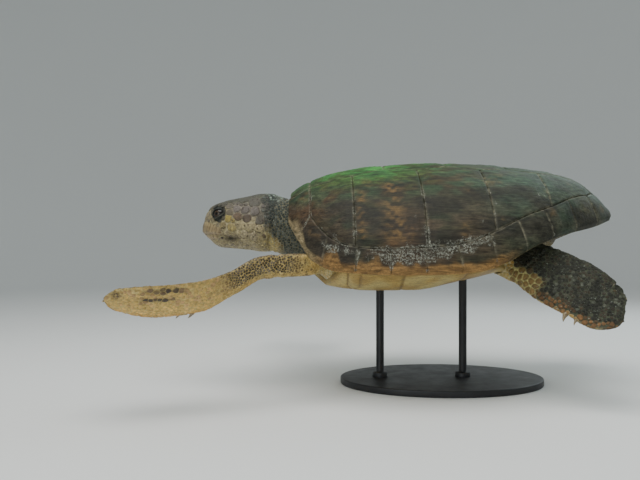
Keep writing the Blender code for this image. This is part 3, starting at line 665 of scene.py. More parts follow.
def painted_hide(name, roughness, wrinkle, grain_depth, specks=0.0, dusting=0.0):
    """Hide or scale: the sprayed tint, mottled and specked dark or pale, with a fine wrinkled grain."""
    made, tree, shader = material(name, YELLOW, roughness, specular=0.3)
    tint = painted(tree, "tint")
    mottle = mix(tree, spread(tree, noise(tree, 160, 4), 0.3, 0.7), (0.62, 0.6, 0.56), (1.25, 1.25, 1.22))
    colour = mix(tree, 1.0, tint, mottle, "MULTIPLY")
    stain = spread(tree, noise(tree, 34, 5, 0.65), 0.56, 0.72, 0, 0.35)
    colour = mix(tree, stain, colour, (0.12, 0.12, 0.075))
    if specks:
        fine = spread(tree, noise(tree, 210, 4, 0.7), 0.4, 0.62, 0, specks)
        colour = mix(tree, fine, colour, (0.12, 0.1, 0.08))
        coarse = spread(tree, noise(tree, 95, 2), 0.6, 0.65, 0, 1.3 * specks)
        colour = mix(tree, coarse, colour, (0.045, 0.032, 0.024))
    if dusting:
        grains = spread(tree, noise(tree, 170, 3, 0.7), 0.63, 0.68, 0, dusting)
        colour = mix(tree, grains, colour, (0.3, 0.34, 0.27))
    grained(tree, shader, colour, noise(tree, 90), roughness - 0.1, roughness + 0.14)
    cells = node(tree, "ShaderNodeTexVoronoi", feature="DISTANCE_TO_EDGE", input_Scale=wrinkle)
    tree.links.new(node(tree, "ShaderNodeTexCoord").outputs["Object"], cells.inputs["Vector"])
    first = bump(tree, shader, spread(tree, cells.outputs["Distance"], 0, 0.25), grain_depth)
    bump(tree, shader, noise(tree, 700, 3), grain_depth * 0.6, under=first)
    return made


part, share, across, height = place_on_body(points)
_, hide_tint = markings(points, part, share, across, height)
add_tint(hide, hide_tint)
skin = show("skin", hide, painted_hide("hide", 0.6, 330, 0.0007))
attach(skin, "root")
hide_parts(*FLESH)


# ---- Scales ----
# Low horny scales side by side over the whole hide, each a closed domed chip bedded a little into it.
# Large plates are listed one by one for the crown and cheeks; the others are scattered evenly and spaced out.

SCALE_GAP = 0.0007
BEDDED = 0.0006  # depth of a scale's underside in the hide
HIGHEST = 0.0016  # height of the largest scales over the bare hide
# The plates of the head's left half, their mirror images go on the right: place, half width
HEAD_PLATES = (((-0.641, -0.013, 0.49), 0.0125), ((-0.617, -0.016, 0.5), 0.0145), ((-0.628, 0, 0.5), 0.007),
               ((-0.594, 0, 0.51), 0.014), ((-0.601, -0.036, 0.5), 0.016), ((-0.578, -0.034, 0.51), 0.014),
               ((-0.556, 0, 0.52), 0.024), ((-0.513, -0.026, 0.53), 0.024), ((-0.508, 0, 0.53), 0.013),
               ((-0.545, -0.042, 0.51), 0.018), ((-0.513, -0.062, 0.5), 0.017),
               ((-0.583, -0.055, 0.491), 0.0095), ((-0.58, -0.06, 0.473), 0.0095),
               ((-0.583, -0.06, 0.455), 0.009), ((-0.561, -0.066, 0.482), 0.011),
               ((-0.557, -0.07, 0.46), 0.0115), ((-0.537, -0.073, 0.478), 0.0125),
               ((-0.533, -0.078, 0.455), 0.012), ((-0.512, -0.08, 0.474), 0.012),
               ((-0.55, -0.075, 0.437), 0.012), ((-0.525, -0.083, 0.43), 0.0125),
               ((-0.572, -0.065, 0.43), 0.0115), ((-0.6, -0.055, 0.436), 0.009),
               ((-0.497, -0.085, 0.452), 0.0125), ((-0.497, -0.086, 0.425), 0.0115),
               ((-0.513, -0.083, 0.404), 0.0115), ((-0.54, -0.079, 0.412), 0.011),
               ((-0.535, -0.074, 0.39), 0.0105), ((-0.558, -0.066, 0.383), 0.009))
COVERED = 0.035  # a scale this close under the shell is left out, because it can't be seen
SNOUT = -0.605  # the beak's edges are measured round the upright line through this place
BEAK_TURN = 95  # how far round the snout the beak's edges run out, in degrees
rng = np.random.default_rng(7)

hide.calc_loop_triangles()
corners = read(hide.loop_triangles, "vertices", 3, int)
hide_tree = BVHTree.FromPolygons(points.tolist(), corners.tolist())
smooth_out = unit(out[corners].sum(1))
shell_trees = [solid_tree(name) for name in nodes if name.startswith("shell") or name == "plastron"]


def round_snout(places):
    """Degrees from the middle of the beak, to either side."""
    return np.abs(np.degrees(np.arctan2(places[:, 1], SNOUT - places[:, 0])))


def beak_heights(places):
    """Lower and upper edge of the upper beak, and lower edge of the lower one, at places round the snout."""
    turn = round_snout(places) / BEAK_TURN
    mouth = mouth_height(places[:, 0])
    hook = 0.0035 * np.exp(-(turn / 0.22) ** 2)
    chin = mouth - 0.003 - 0.0165 * np.clip(1 - turn**2, 0, 1)
    return mouth - 0.0008 - hook, 0.456 - 0.026 * turn**1.2, chin


def is_beak(places):
    """Whether each place is under the horn of the beak, where no scales go."""
    _, top, chin = beak_heights(places)
    x, _, z = places.T
    return (round_snout(places) < 92) & (x < -0.6) & (z < top + 0.001) & (z > chin - 0.001)


def scale_size(places, part, share, across, height):
    """Half width of the scales that belong at each place."""
    x, _, z = places.T
    size = np.full(len(places), 0.0038)
    fore, hind = (part == FORE_LEFT) | (part == FORE_RIGHT), part >= HIND_LEFT
    size[fore] = 0.0035
    size[fore & (height < 0) & (share > 0.14) & (share < 0.52) & (across < 0.2)] = 0.0029
    blade = fore & (share > 0.5)
    size[blade] = 0.0043 - 0.001 * step(0.9, 1, share[blade])
    rows = band(across, -0.72, 0.14) + band(across, -0.15, 0.1)
    size[blade] += 0.0022 * (rows * (share < 0.9))[blade]
    size[hind] = 0.0037
    size[(part > 0) & (across > 0.8) & (share > 0.3)] = 0.0062
    size[hind & (across > 0.3) & (share < 0.38) & (height > 0)] = 0.0075
    size[(part > 0) & (share > 0.94)] = 0.003
    body = part == 0
    size[body & (x < -0.3)] = 0.0031
    head = body & (x < -0.485)
    size[head] = 0.0048
    size[head & (z < 0.385)] = 0.004
    size[head & (np.abs(z - mouth_height(x)) < 0.016) & (x < -0.55)] = 0.0036
    return size


def scattered(number):
    """Even random places on the hide, with its normal there."""
    a, b, c = (points[corners[:, k]] for k in range(3))
    area = np.linalg.norm(np.cross(b - a, c - a), axis=1)
    chosen = rng.choice(len(corners), number, p=area / area.sum())
    s, t = rng.random((2, number, 1))
    s, t = np.where(s + t > 1, 1 - s, s), np.where(s + t > 1, 1 - t, t)
    return a[chosen] * (1 - s - t) + b[chosen] * s + c[chosen] * t, smooth_out[chosen]


def shows(place, way):
    """Whether a place on the hide lies in the open, clear of the shell."""
    start, way = Vector(place), Vector(way)
    return not any(tree.ray_cast(start + way * 0.002, way, COVERED)[0] for tree in shell_trees)


SPOTS_TRIED = 120000
spots, spot_out = scattered(SPOTS_TRIED)
figures = place_on_body(spots)
spot_part, x, z = figures[0], spots[:, 0], spots[:, 2]
eye_gap = from_eye(spots)
nose_gap = from_eye(spots, NOSTRIL)
bare = (eye_gap < EYE_RADIUS + 0.0035) | (nose_gap < 0.0045) | is_beak(spots)
bare |= (spot_part == 0) & (np.abs(z - mouth_height(x)) < 0.0028) & (x < MOUTH_CORNER + 0.002)
bare |= (spot_part == 0) & in_sleeve(spots)
keep = ~bare
spots, spot_out = spots[keep], spot_out[keep]
figures = [each[keep] for each in figures]
spot_size = scale_size(spots, *figures)

# the plates come first, then each free place that keeps its distance from those before it
seeds, seed_out, seed_size = [], [], []
for place, size in HEAD_PLATES:
    for side in ((1, -1) if place[1] else (1,)):
        found, _, face, _ = hide_tree.find_nearest(Vector((place[0], side * place[1], place[2])))
        seeds.append(np.array(found))
        seed_out.append(smooth_out[face])
        seed_size.append(size)
BOX = 0.014  # side of the boxes that neighbours are looked up in
SPACING = 0.86  # least distance of two scales, as a share of their half widths together
filled = {}


def crowded(box, place, way, size):
    """Whether a scale placed before, in this box or one beside it, is too near on the same side."""
    for shift in product((-1, 0, 1), repeat=3):
        for other in filled.get((box[0] + shift[0], box[1] + shift[1], box[2] + shift[2]), ()):
            dx, dy, dz = place - seeds[other]
            reach = SPACING * (size + seed_size[other])
            if dx * dx + dy * dy + dz * dz < reach * reach and seed_out[other] @ way > 0:
                return True
    return False


apart = np.linalg.norm(spots[:, None] - np.array(seeds)[None], axis=2)
clear = (apart > (np.array(seed_size)[None] + spot_size[:, None])).all(1)
for number in np.flatnonzero(clear):
    place, way, size = spots[number], spot_out[number], spot_size[number]
    box = tuple(int(value // BOX) for value in place)
    if not crowded(box, place, way, size):
        filled.setdefault(box, []).append(len(seeds))
        seeds.append(place)
        seed_out.append(way)
        seed_size.append(size)
seeds, seed_out, seed_size = np.array(seeds), np.array(seed_out), np.array(seed_size)


def cut_ring(ring, ux, uy, reach):
    """A convex ring of flat points, cut off square to (ux, uy) at that distance."""
    kept = []
    for (ax, ay), (bx, by) in zip(ring, ring[1:] + ring[:1]):
        a, b = ax * ux + ay * uy - reach, bx * ux + by * uy - reach
        if a <= 0:
            kept.append((ax, ay))
        if (a < 0 < b) or (b < 0 < a):
            t = a / (a - b)
            kept.append((ax + (bx - ax) * t, ay + (by - ay) * t))
    return kept


def round_ring(ring, least):
    """The ring with its corners cut, and short sides drawn together to one point."""
    rounded = []
    for (ax, ay), (bx, by) in zip(ring, ring[1:] + ring[:1]):
        if math.hypot(bx - ax, by - ay) < least:
            rounded.append(((ax + bx) / 2, (ay + by) / 2))
        else:
            rounded.append((ax * 0.76 + bx * 0.24, ay * 0.76 + by * 0.24))
            rounded.append((ax * 0.24 + bx * 0.76, ay * 0.24 + by * 0.76))
    return rounded


def place_tree(places):
    """A tree for finding the nearest of many places."""
    tree = KDTree(len(places))
    for number, place in enumerate(places):
        tree.insert(place, number)
    tree.balance()
    return tree


# A scale starts as a ten-sided disc, and each neighbour within reach cuts it back halfway to itself
DISC = [(math.cos(k * math.pi / 5), math.sin(k * math.pi / 5)) for k in range(10)]
DISC_SIZE = 1.4  # radius of the disc, as a share of the scale's half width
LEAST_RADIUS = 0.0008  # smaller scales than this are left out
LEAST_SIDE = 0.3  # a side shorter than this is drawn together, as a share of the scale's half width
seed_tree = place_tree(seeds)
first_way = unit(np.cross(seed_out, np.where(np.abs(seed_out[:, 1:2]) < 0.9, (0, 1, 0), (1, 0, 0))))
second_way = np.cross(seed_out, first_way)
seed_figures = place_on_body(seeds)
scale_tint, gap_tint = markings(seeds, *seed_figures)
shade = rng.normal(1, 0.11, len(seeds))
scale_tint = scale_tint * shade[:, None]
rings = {}
for i, (place, way) in enumerate(zip(seeds, seed_out)):
    if not shows(place, way):
        continue
    size = seed_size[i]
    ring = [(px * size * DISC_SIZE, py * size * DISC_SIZE) for px, py in DISC]
    for other, j, apart in seed_tree.find_range(place, size * DISC_SIZE + 0.012):
        if j == i or seed_out[j] @ way < 0 or apart > (size + seed_size[j]) * 1.7:
            continue
        offset = np.array(other) - place
        dx, dy = offset @ first_way[i], offset @ second_way[i]
        flat = math.hypot(dx, dy)
        if flat < 1e-5:
            continue
        reach = apart / 2 + (size**2 - seed_size[j] ** 2) / (2 * apart)
        reach = min(max(reach, 0.15 * apart), 0.85 * apart) - SCALE_GAP / 2
        ring = cut_ring(ring, dx / flat, dy / flat, reach)
        if len(ring) < 3:
            break
    if len(ring) > 2:
        ring = round_ring(ring, size * LEAST_SIDE)
        middle = np.mean(ring, axis=0)
        if min(math.hypot(px - middle[0], py - middle[1]) for px, py in ring) > LEAST_RADIUS:
            rings[i] = ring

# The steps of a scale's section: how far out from the middle each lies, and its share of the height
BASE, SHOULDER, TOP, MIDDLE = range(4)
SECTION = np.array(((1.0, 0.0), (0.97, 0.62), (0.72, 0.95), (0.0, 1.1)))
skin_scales = painted_hide("scale_horn", 0.42, 900, 0.00035)
head_scales = painted_hide("head_horn", 0.4, 900, 0.00035, specks=0.6)
dusted_scales = painted_hide("dusted_horn", 0.42, 900, 0.00035, dusting=0.8)
# How the scales are unrolled to a flat map: round the body's axis, from its front to its rear
BODY_AXIS = 0.43
BODY_FRONT = -0.67
BODY_LENGTH = 1.05
PATCH = 0.0011  # half width of a scale on the map, which is 1 wide
FINISHES = {"scales_head": head_scales, "scales_neck": dusted_scales, "scales_hind_left": dusted_scales,
            "scales_hind_right": dusted_scales}


def face_outwards(mesh):
    """Turns the faces of a closed mesh outwards."""
    bm = bmesh.new()
    bm.from_mesh(mesh)
    bmesh.ops.recalc_face_normals(bm, faces=bm.faces)
    if bm.calc_volume(signed=True) < 0:
        bmesh.ops.reverse_faces(bm, faces=bm.faces)
    bm.to_mesh(mesh)
    bm.free()


def lay_scales(name, numbers):
    """One piece of scales from the rings with those numbers."""
    bm = bmesh.new()
    owner = bm.verts.layers.int.new("owner")
    level = bm.verts.layers.int.new("level")
    bottoms = []
    for i in numbers:
        spots = seeds[i] + np.array(rings[i]) @ np.stack([first_way[i], second_way[i]])
        verts = [bm.verts.new(spot) for spot in spots]
        for vert in verts:
            vert[owner] = i
        bottoms.append(bm.faces.new(verts))
    raised = bmesh.ops.extrude_face_region(bm, geom=bottoms, use_keep_orig=True)["geom"]
    tops = [item for item in raised if isinstance(item, bmesh.types.BMFace)]
    for item in raised:
        if isinstance(item, bmesh.types.BMVert):
            item[level] = SHOULDER
    bmesh.ops.inset_individual(bm, faces=tops, thickness=1e-5, use_even_offset=False)
    for face in tops:
        for vert in face.verts:
            vert[level] = TOP
    for vert in bmesh.ops.poke(bm, faces=tops)["verts"]:
        vert[level] = MIDDLE
    mesh = finished(name, bm)

    co = coordinates(mesh)
    whose, level_of = (read(mesh.attributes[layer].data, "value", 1, int)[:, 0]
                       for layer in ("owner", "level"))
    for layer in ("owner", "level"):
        mesh.attributes.remove(mesh.attributes[layer])
    base = level_of == BASE
    centre = np.stack([np.bincount(whose, co[:, axis] * base, len(seeds)) for axis in range(3)], 1)
    centre = centre / np.maximum(np.bincount(whose[base], minlength=len(seeds)), 1)[:, None]
    reach, lift = SECTION[level_of].T
    co = centre[whose] + (co - centre[whose]) * reach[:, None]
    flat = co - seeds[whose]
    tall = np.where(base, -BEDDED, np.minimum(0.0006 + 0.14 * seed_size, HIGHEST)[whose] * lift)
    for number, place in enumerate(co):
        found, _, face, _ = hide_tree.find_nearest(place)
        co[number] = np.array(found) + smooth_out[face] * tall[number]
    move_to(mesh, co)
    face_outwards(mesh)

    rim = np.where(level_of <= SHOULDER, 0.55, 0.0)[:, None]
    tone = np.where(level_of == MIDDLE, 1.12, 1.0)[:, None]
    add_tint(mesh, np.clip((scale_tint[whose] * (1 - rim) + gap_tint[whose] * rim) * tone, 0, 1))
    # each scale is a small patch at its own place on the hide, unrolled round the limb or the body
    part, share, across, height = (each[whose] for each in seed_figures)
    x, y, z = seeds[whose].T
    turn = np.where(part > 0, np.arctan2(height, across), np.arctan2(z - BODY_AXIS, y))
    length = np.where(part > 0, share, (x - BODY_FRONT) / BODY_LENGTH)
    root = np.stack([0.02 + 0.96 * length, 0.02 + 0.96 * (turn / (2 * math.pi) + 0.5)], 1)
    local = np.stack([(flat * first_way[whose]).sum(1), (flat * second_way[whose]).sum(1)], 1)
    unrolled = root + local / seed_size[whose, None] * PATCH
    loop_vert = read(mesh.loops, "vertex_index", 1, int)[:, 0]
    layer = mesh.uv_layers.new(name="OFBake")
    layer.data.foreach_set("uv", unrolled[loop_vert].astype("f").ravel())
    obj = show(name, mesh, FINISHES.get(name, skin_scales))
    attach(obj, "root")


laid = np.array(sorted(rings))
for number, name in enumerate(LIMBS, 1):
    lay_scales("scales_" + name, laid[seed_figures[0][laid] == number])
for name, low, high in (("head", -1, -0.475), ("neck", -0.475, -0.3), ("rump", -0.3, 1)):
    mine = (seed_figures[0][laid] == 0) & (seeds[laid, 0] > low) & (seeds[laid, 0] <= high)
    lay_scales("scales_" + name, laid[mine])


# ---- Carapace ----
# Horny plates butted over the back: a nuchal, five vertebrals, five costals a side and twelve
# marginals a side, cast in resin with worn growth rings, each stopping short of its neighbours.

SHELL_LENGTH = 0.875
SHELL_FRONT = -0.42
SWIM_HEIGHT = 0.40
BANK = math.radians(8)  # the shell is laid out level, then tipped to its left side
PLATE = 0.014  # thickness of the plates
PLATE_DEPTH = PLATE - 0.001  # where the visible plates end, just short of the solids' inner faces
PLATE_GAP = 0.0012
WEAR = 0.0011  # how far the worn surface lies below the solids'
PITCH = 0.0033  # spacing of a plate's points
LINE_SAMPLES = 400  # places where each smooth line is worked out
DOME_POWER = 0.66  # the shell's cross section: 0.5 is an ellipse, and 1 a parabola
NUCHAL_REAR, RIDGE_REAR = 0.062, 0.935
NUCHAL_FRONT_V, NUCHAL_REAR_V, REAR_CORNER_V = 0.45, 0.30, 0.42
FRONT_CORNER_U, REAR_CORNER_U = 0.065, 0.90
VERTEBRAL_SEAMS = (NUCHAL_REAR, 0.29, 0.48, 0.665, 0.83, RIDGE_REAR)
VERTEBRAL_SEAM_V = (NUCHAL_REAR_V, 0.17, 0.165, 0.16, 0.17, REAR_CORNER_V)
COSTAL_SEAMS = (FRONT_CORNER_U, 0.19, 0.385, 0.575, 0.755, REAR_CORNER_U)
VERTEBRAL_CORNER_V = (None, 0.27, 0.265, 0.26, 0.26, None)
RIM_STATIONS = ((0, NUCHAL_FRONT_V), (0, 1), (0.03, 1), (0.10, 1), (0.19, 1), (0.285, 1), (0.38, 1),
                (0.475, 1), (0.57, 1), (0.66, 1), (0.745, 1), (0.83, 1), (0.92, 1), (1, 1), (1, 0))
SEAM_STATIONS = (None, None, FRONT_CORNER_U, 0.115, 0.2, 0.285, 0.375, 0.465, 0.555, 0.64, 0.725, 0.815,
                 REAR_CORNER_U)
RIM_THICK = 0.011
UNDERSIDE = 0.045  # how far the marginals reach in below the shell
BARK = (0.058, 0.032, 0.017)
OLIVE = (0.027, 0.032, 0.02)
MOSS = (0.022, 0.07, 0.034)
ALGAE = (0.045, 0.24, 0.045)
SEA_GREY = (0.055, 0.09, 0.065)
CRUST = (0.42, 0.43, 0.36)
RIM_ORANGE = (0.22, 0.125, 0.046)
RIM_TAN = (0.32, 0.25, 0.14)
BELLY = (0.42, 0.30, 0.10)


def smooth_line(points):
    """The smooth curve through (place, value) points, as a function of an array of places."""
    places = np.linspace(points[0][0], points[-1][0], LINE_SAMPLES)
    values = [through(points, place) for place in places]
    return lambda at: np.interp(at, places, values)


half_width = smooth_line(((0, 0.12), (0.03, 0.185), (0.08, 0.245), (0.2, 0.312), (0.36, 0.343), (0.5, 0.338),
                          (0.66, 0.29), (0.8, 0.215), (0.92, 0.125), (1, 0.035)))
rim_height = smooth_line(((0, 0.062), (0.03, 0.028), (0.07, -0.012), (0.14, -0.03), (0.4, -0.027),
                          (0.52, -0.021), (0.6, -0.003), (0.7, 0.034), (0.8, 0.053), (0.9, 0.060),
                          (1, 0.067)))
ridge_height = smooth_line(((0, 0.127), (0.05, 0.155), (0.12, 0.179), (0.25, 0.200), (0.45, 0.210),
                            (0.6, 0.205), (0.76, 0.192), (0.87, 0.172), (0.94, 0.136), (1, 0.086)))
seam_half_width = smooth_line(((0.062, 0.76), (0.085, 0.84), (0.12, 0.905), (0.17, 0.937), (0.25, 0.95),
                               (0.45, 0.942), (0.55, 0.912), (0.62, 0.885), (0.75, 0.842), (0.9, 0.66)))


def dome(u, v, depth=0.0):
    """Points of the carapace's outer surface, laid out level, or that far below it along its normal."""
    def surface(u, v):
        rim, ridge = rim_height(u), ridge_height(u)
        height = rim + (ridge - rim) * np.maximum(1 - v * v, 0) ** DOME_POWER
        return np.stack([SHELL_FRONT + SHELL_LENGTH * u, half_width(u) * v, height], -1)

    ahead = surface(np.minimum(u + 1e-3, 1), v) - surface(np.maximum(u - 1e-3, 0), v)
    side = surface(u, np.minimum(v + 1e-3, 0.999)) - surface(u, np.maximum(v - 1e-3, -0.999))
    return surface(u, v) - unit(np.cross(ahead, side)) * np.broadcast_to(depth, np.shape(u))[..., None]


def banked(level):
    """Level points of the shell, tipped about its length and raised to their place in the world."""
    x, y, z = level.T
    return np.stack([x, y * math.cos(BANK) - z * math.sin(BANK),
                     y * math.sin(BANK) + z * math.cos(BANK) + SWIM_HEIGHT], 1)


def along_line(corners, t):
    """(u, v) at shares t of the way along a line of corners, each leg taking an equal share."""
    shares = np.linspace(0, 1, len(corners))
    return np.stack([np.interp(t, shares, column) for column in zip(*corners)], -1)


def above_rim(level):
    """Height of level points of the shell over its rim beside them."""
    return level[:, 2] - rim_height((level[:, 0] - SHELL_FRONT) / SHELL_LENGTH)


def weather(level, v, edge):
    """Colour and crust at level points of the carapace, v out from the midline and edge in from a seam."""
    x = level[:, 0]
    v = np.abs(v)
    broad, patch, fine = cloudy(level, 0.16, 41), cloudy(level, 0.05, 42), cloudy(level, 0.014, 43)
    streak = cloudy(level * (0.35, 1, 1), 0.02, 44)
    colour = lay(BARK, np.tile(OLIVE, (len(level), 1)), 0.45 + 0.45 * broad + 0.2 * streak)
    colour = lay(MOSS, colour, 0.55 * step(-0.3, 0.6, patch) * (1 - step(0.55, 0.85, v)))
    colour = lay((0.055, 0.038, 0.026), colour, 0.6 * step(0.5, 0.8, v) * step(-0.5, 0.4, patch))
    colour = lay(SEA_GREY, colour, 0.7 * (1 - 0.5 * step(0.45, 0.95, v)) * step(-0.1, 0.22, x))
    growth = (1 - step(0.15, 0.58, v + 0.12 * patch)) * band(x + 0.05 * broad, -0.2, 0.18)
    growth = growth * (0.72 + 0.28 * streak) * (0.45 + 0.55 * step(-0.7, 0.3, patch + 0.5 * fine))
    colour = lay(ALGAE, colour, growth)
    blotch = step(0, 0.6, cloudy(level * (0.5, 1, 1), 0.06, 46)) * step(0.3, 0.55, v)
    colour = lay((0.024, 0.021, 0.017), colour, 0.7 * blotch)
    smudge = band(x, -0.158, 0.024) * step(0.4, 0.55, v) + band(x, -0.236, 0.011) * step(0.5, 0.62, v)
    smudge = smudge + 0.5 * step(0.45, 0.9, cloudy(level * (1, 0.4, 0.4), 0.05, 45)) * step(0.3, 0.5, v)
    smudge = smudge * (1 - step(0.9, 0.94, v)) * step(-0.4, 0.35, fine + 0.4 * streak)
    colour = lay((0.13, 0.08, 0.031), colour, smudge * 0.7)
    seam = (1 - step(0.0012, 0.0042, edge)) * (0.3 + 0.7 * step(-0.4, 0.4, fine))
    colour = lay((0.25, 0.23, 0.17), colour, seam * 0.5)
    height = above_rim(level)
    crust = 0.49 * band(x, -0.14, 0.1) * band(height, 0.034, 0.02)
    crust = crust + 0.5 * band(x, 0.0, 0.06) * band(height, 0.056, 0.018)
    crust = crust + 0.5 * band(x, -0.31, 0.03) * band(height, 0.042, 0.012) + 0.12 * step(0.3, 0.8, v)
    rim_dust = (1 - step(0.002, 0.008, edge)) * step(0.3, 0.6, v) * step(-0.5, 0.4, cloudy(level, 0.045, 47))
    crust = crust + 0.34 * rim_dust * (1 - 0.8 * step(0.03, 0.18, x)) + 0.15 * step(0.4, 0.9, patch)
    return colour * (1 + 0.16 * fine + 0.12 * streak)[:, None], np.clip(crust, 0, 1)


def combined(tree, operation, first, second):
    """The sum or the product of two values."""
    made = node(tree, "ShaderNodeMath", operation=operation)
    tree.links.new(first, made.inputs[0])
    tree.links.new(second, made.inputs[1])
    return made.outputs[0]


def weathered_horn(name, roughness, contrast):
    """Horn with its painted tint, fine streaks along the body, crusted specks and a pitted surface."""
    made, tree, shader = material(name, BARK, roughness, specular=0.2)
    tint = painted(tree, "tint")
    streaks = noise(tree, 88, 5, 0.68, (0.22, 1, 1.7))
    low, high = 1 - contrast, 1 + contrast
    shaded = mix(tree, spread(tree, streaks, 0.3, 0.7), (low, low, low), (high, high, high * 0.97))
    colour = mix(tree, 1.0, tint, shaded, "MULTIPLY")
    fibres = spread(tree, noise(tree, 330, 3, 0.6, (0.14, 1, 1.6)), 0.32, 0.68)
    colour = mix(tree, 1.0, colour, mix(tree, fibres, (0.68, 0.68, 0.7), (1.32, 1.3, 1.24)), "MULTIPLY")
    pores = noise(tree, 240, 4, 0.7)
    colour = mix(tree, spread(tree, pores, 0.52, 0.66, 0, 0.5), colour, (0.03, 0.03, 0.02))
    grains = painted(tree, "crust", "Fac")
    zone = spread(tree, combined(tree, "ADD", noise(tree, 42, 4, 0.6), grains), 0.86, 1.02)
    mask = combined(tree, "MULTIPLY", zone, spread(tree, noise(tree, 230, 5, 0.8), 0.48, 0.56))
    chalk = mix(tree, spread(tree, noise(tree, 400, 3), 0.35, 0.65), CRUST, (0.2, 0.2, 0.16))
    grained(tree, shader, mix(tree, mask, colour, chalk), streaks, roughness - 0.1, roughness + 0.15)
    first = bump(tree, shader, mask, 0.0012)
    second = bump(tree, shader, streaks, 0.0014, under=first)
    bump(tree, shader, pores, 0.0007, under=second)
    return made


carapace_horn = weathered_horn("carapace_horn", 0.6, 0.7)


def add_values(mesh, layer, values):
    """Stores a number for each point of a mesh, which its material reads under that name."""
    mesh.attributes.new(layer, "FLOAT", "POINT").data.foreach_set("value", values.astype("f"))


def wear(level, edge):
    """How far worn horn lies below the whole plate: rounded at its edge, ringed, and a little uneven."""
    inside = np.clip(edge / 0.0045, 0, 1)
    rounded = 0.0021 * (1 - np.sqrt(1 - (1 - inside) ** 2)) + 0.0012 * (1 - step(0, 0.03, edge))
    rings = 0.00022 * np.cos(edge * 2 * math.pi / 0.0135) * (1 - step(0.03, 0.075, edge))
    return WEAR + rounded + rings + 0.0007 * cloudy(level, 0.06, 51) + 0.00035 * cloudy(level, 0.018, 52)


def two_layers(name, columns, rows):
    """A flat mesh of two layers joined all round, its points' shares across and along it, and which of
    them are in the lower layer."""
    bm = bmesh.new()
    bmesh.ops.create_grid(bm, x_segments=columns, y_segments=rows, size=0.5)
    bmesh.ops.extrude_face_region(bm, geom=bm.faces[:], use_keep_orig=True)
    mesh = finished(name, bm)
    s, t, _ = (coordinates(mesh) + 0.5).T
    return mesh, s, t, np.arange(len(s)) >= len(s) // 2


def scute(piece, cad_node, near, far, sign, keel=0.0):
    """A plate between two lines of (u, v) corners, each running from front to rear."""
    def line(s, t):
        u, v = (along_line(near, t) * (1 - s[:, None]) + along_line(far, t) * s[:, None]).T
        return u, v * sign

    ends = np.array((0, 1, 0.5, 0.5)), np.array((0.5, 0.5, 0, 1))
    left, right, front, rear = dome(*line(*ends))
    wide, long = np.linalg.norm(right - left), np.linalg.norm(rear - front)
    mesh, s, t, under = two_layers(piece, int(wide / PITCH), int(long / PITCH))
    u, v = line(s + (0.5 - s) * PLATE_GAP / wide, t + (0.5 - t) * PLATE_GAP / long)
    level = dome(u, v)
    hem_tree = place_tree(level[np.minimum(np.minimum(s, 1 - s), np.minimum(t, 1 - t)) < 1e-4])
    edge = np.array([hem_tree.find(place)[2] for place in level])
    depth = wear(level, edge) - keel * np.exp(-(v / 0.045) ** 2) * step(0.1, 0.9, t) * step(0, 0.02, edge)
    level = dome(u, v, np.where(under, PLATE_DEPTH, depth))
    tint, crust = weather(level, v, edge)
    move_to(mesh, banked(level))
    add_tint(mesh, tint)
    add_values(mesh, "crust", crust)
    settle(mesh, carapace_horn, "carapace", cad_node)


def settle(mesh, finish, slot, *cad_nodes):
    """Turns a mesh's faces outwards and makes it a piece of its own name that stands for CAD nodes."""
    face_outwards(mesh)
    obj = show(mesh.name, mesh, finish)
    mesh.set_sharp_from_angle(angle=math.radians(60))
    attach(obj, "root")
    if cad_nodes:
        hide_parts(*cad_nodes)


scute("nuchal_plate", "shell_nuchal", [(0, -NUCHAL_FRONT_V), (NUCHAL_REAR, -NUCHAL_REAR_V)],
      [(0, NUCHAL_FRONT_V), (NUCHAL_REAR, NUCHAL_REAR_V)], 1)
for i in range(5):
    edge = [(VERTEBRAL_SEAMS[i], VERTEBRAL_SEAM_V[i]), (VERTEBRAL_SEAMS[i + 1], VERTEBRAL_SEAM_V[i + 1])]
    if i < 4:
        edge.insert(1, (COSTAL_SEAMS[i + 1], VERTEBRAL_CORNER_V[i + 1]))
    mirrored = [(u, -v) for u, v in edge]
    scute(f"vertebral_plate_{i + 1}", f"shell_vertebral_{i + 1}", mirrored, edge, 1, keel=0.0012)
for side, sign in (("left", -1), ("right", 1)):
    for i in range(5):
        front, rear = COSTAL_SEAMS[i], COSTAL_SEAMS[i + 1]
        inner = [(VERTEBRAL_SEAMS[i], VERTEBRAL_SEAM_V[i])]
        if i > 0:
            inner.insert(0, (front, VERTEBRAL_CORNER_V[i]))
        inner.append((rear, VERTEBRAL_CORNER_V[i + 1]) if i < 4 else (RIDGE_REAR, REAR_CORNER_V))
        outer = [(u, seam_half_width(u)) for u in np.linspace(front, rear, 7)]
        scute(f"costal_plate_{side}_{i + 1}", f"shell_costal_{side}_{i + 1}", inner, outer, sign)


def seam_place(k):
    """(u, v) of the seam inside the marginals, at station k from the nuchal back."""
    if k <= 2:
        corner = (FRONT_CORNER_U, seam_half_width(FRONT_CORNER_U))
        return along_line(((NUCHAL_REAR, NUCHAL_REAR_V), corner), k / 2)
    last = len(SEAM_STATIONS) - 1
    if k <= last:
        u = through(tuple(enumerate(SEAM_STATIONS))[2:], k)
        return np.array((u, seam_half_width(u)))
    corner = (REAR_CORNER_U, seam_half_width(REAR_CORNER_U))
    return along_line((corner, (RIDGE_REAR, REAR_CORNER_V), (RIDGE_REAR, 0)), (k - last) / 2)


LAST_STATION = len(RIM_STATIONS) - 1
STATION_SAMPLES = 40  # places in each station where the seam and the rim are worked out
STATION_COLUMNS = 26  # columns of points for each station that a marginal spans
SECTION_ROWS = 50  # rows of points round its section
stations = np.linspace(0, LAST_STATION, LAST_STATION * STATION_SAMPLES + 1)
seam_table = np.array([seam_place(k) for k in stations])
rim_table = along_line(RIM_STATIONS, stations / stations[-1])
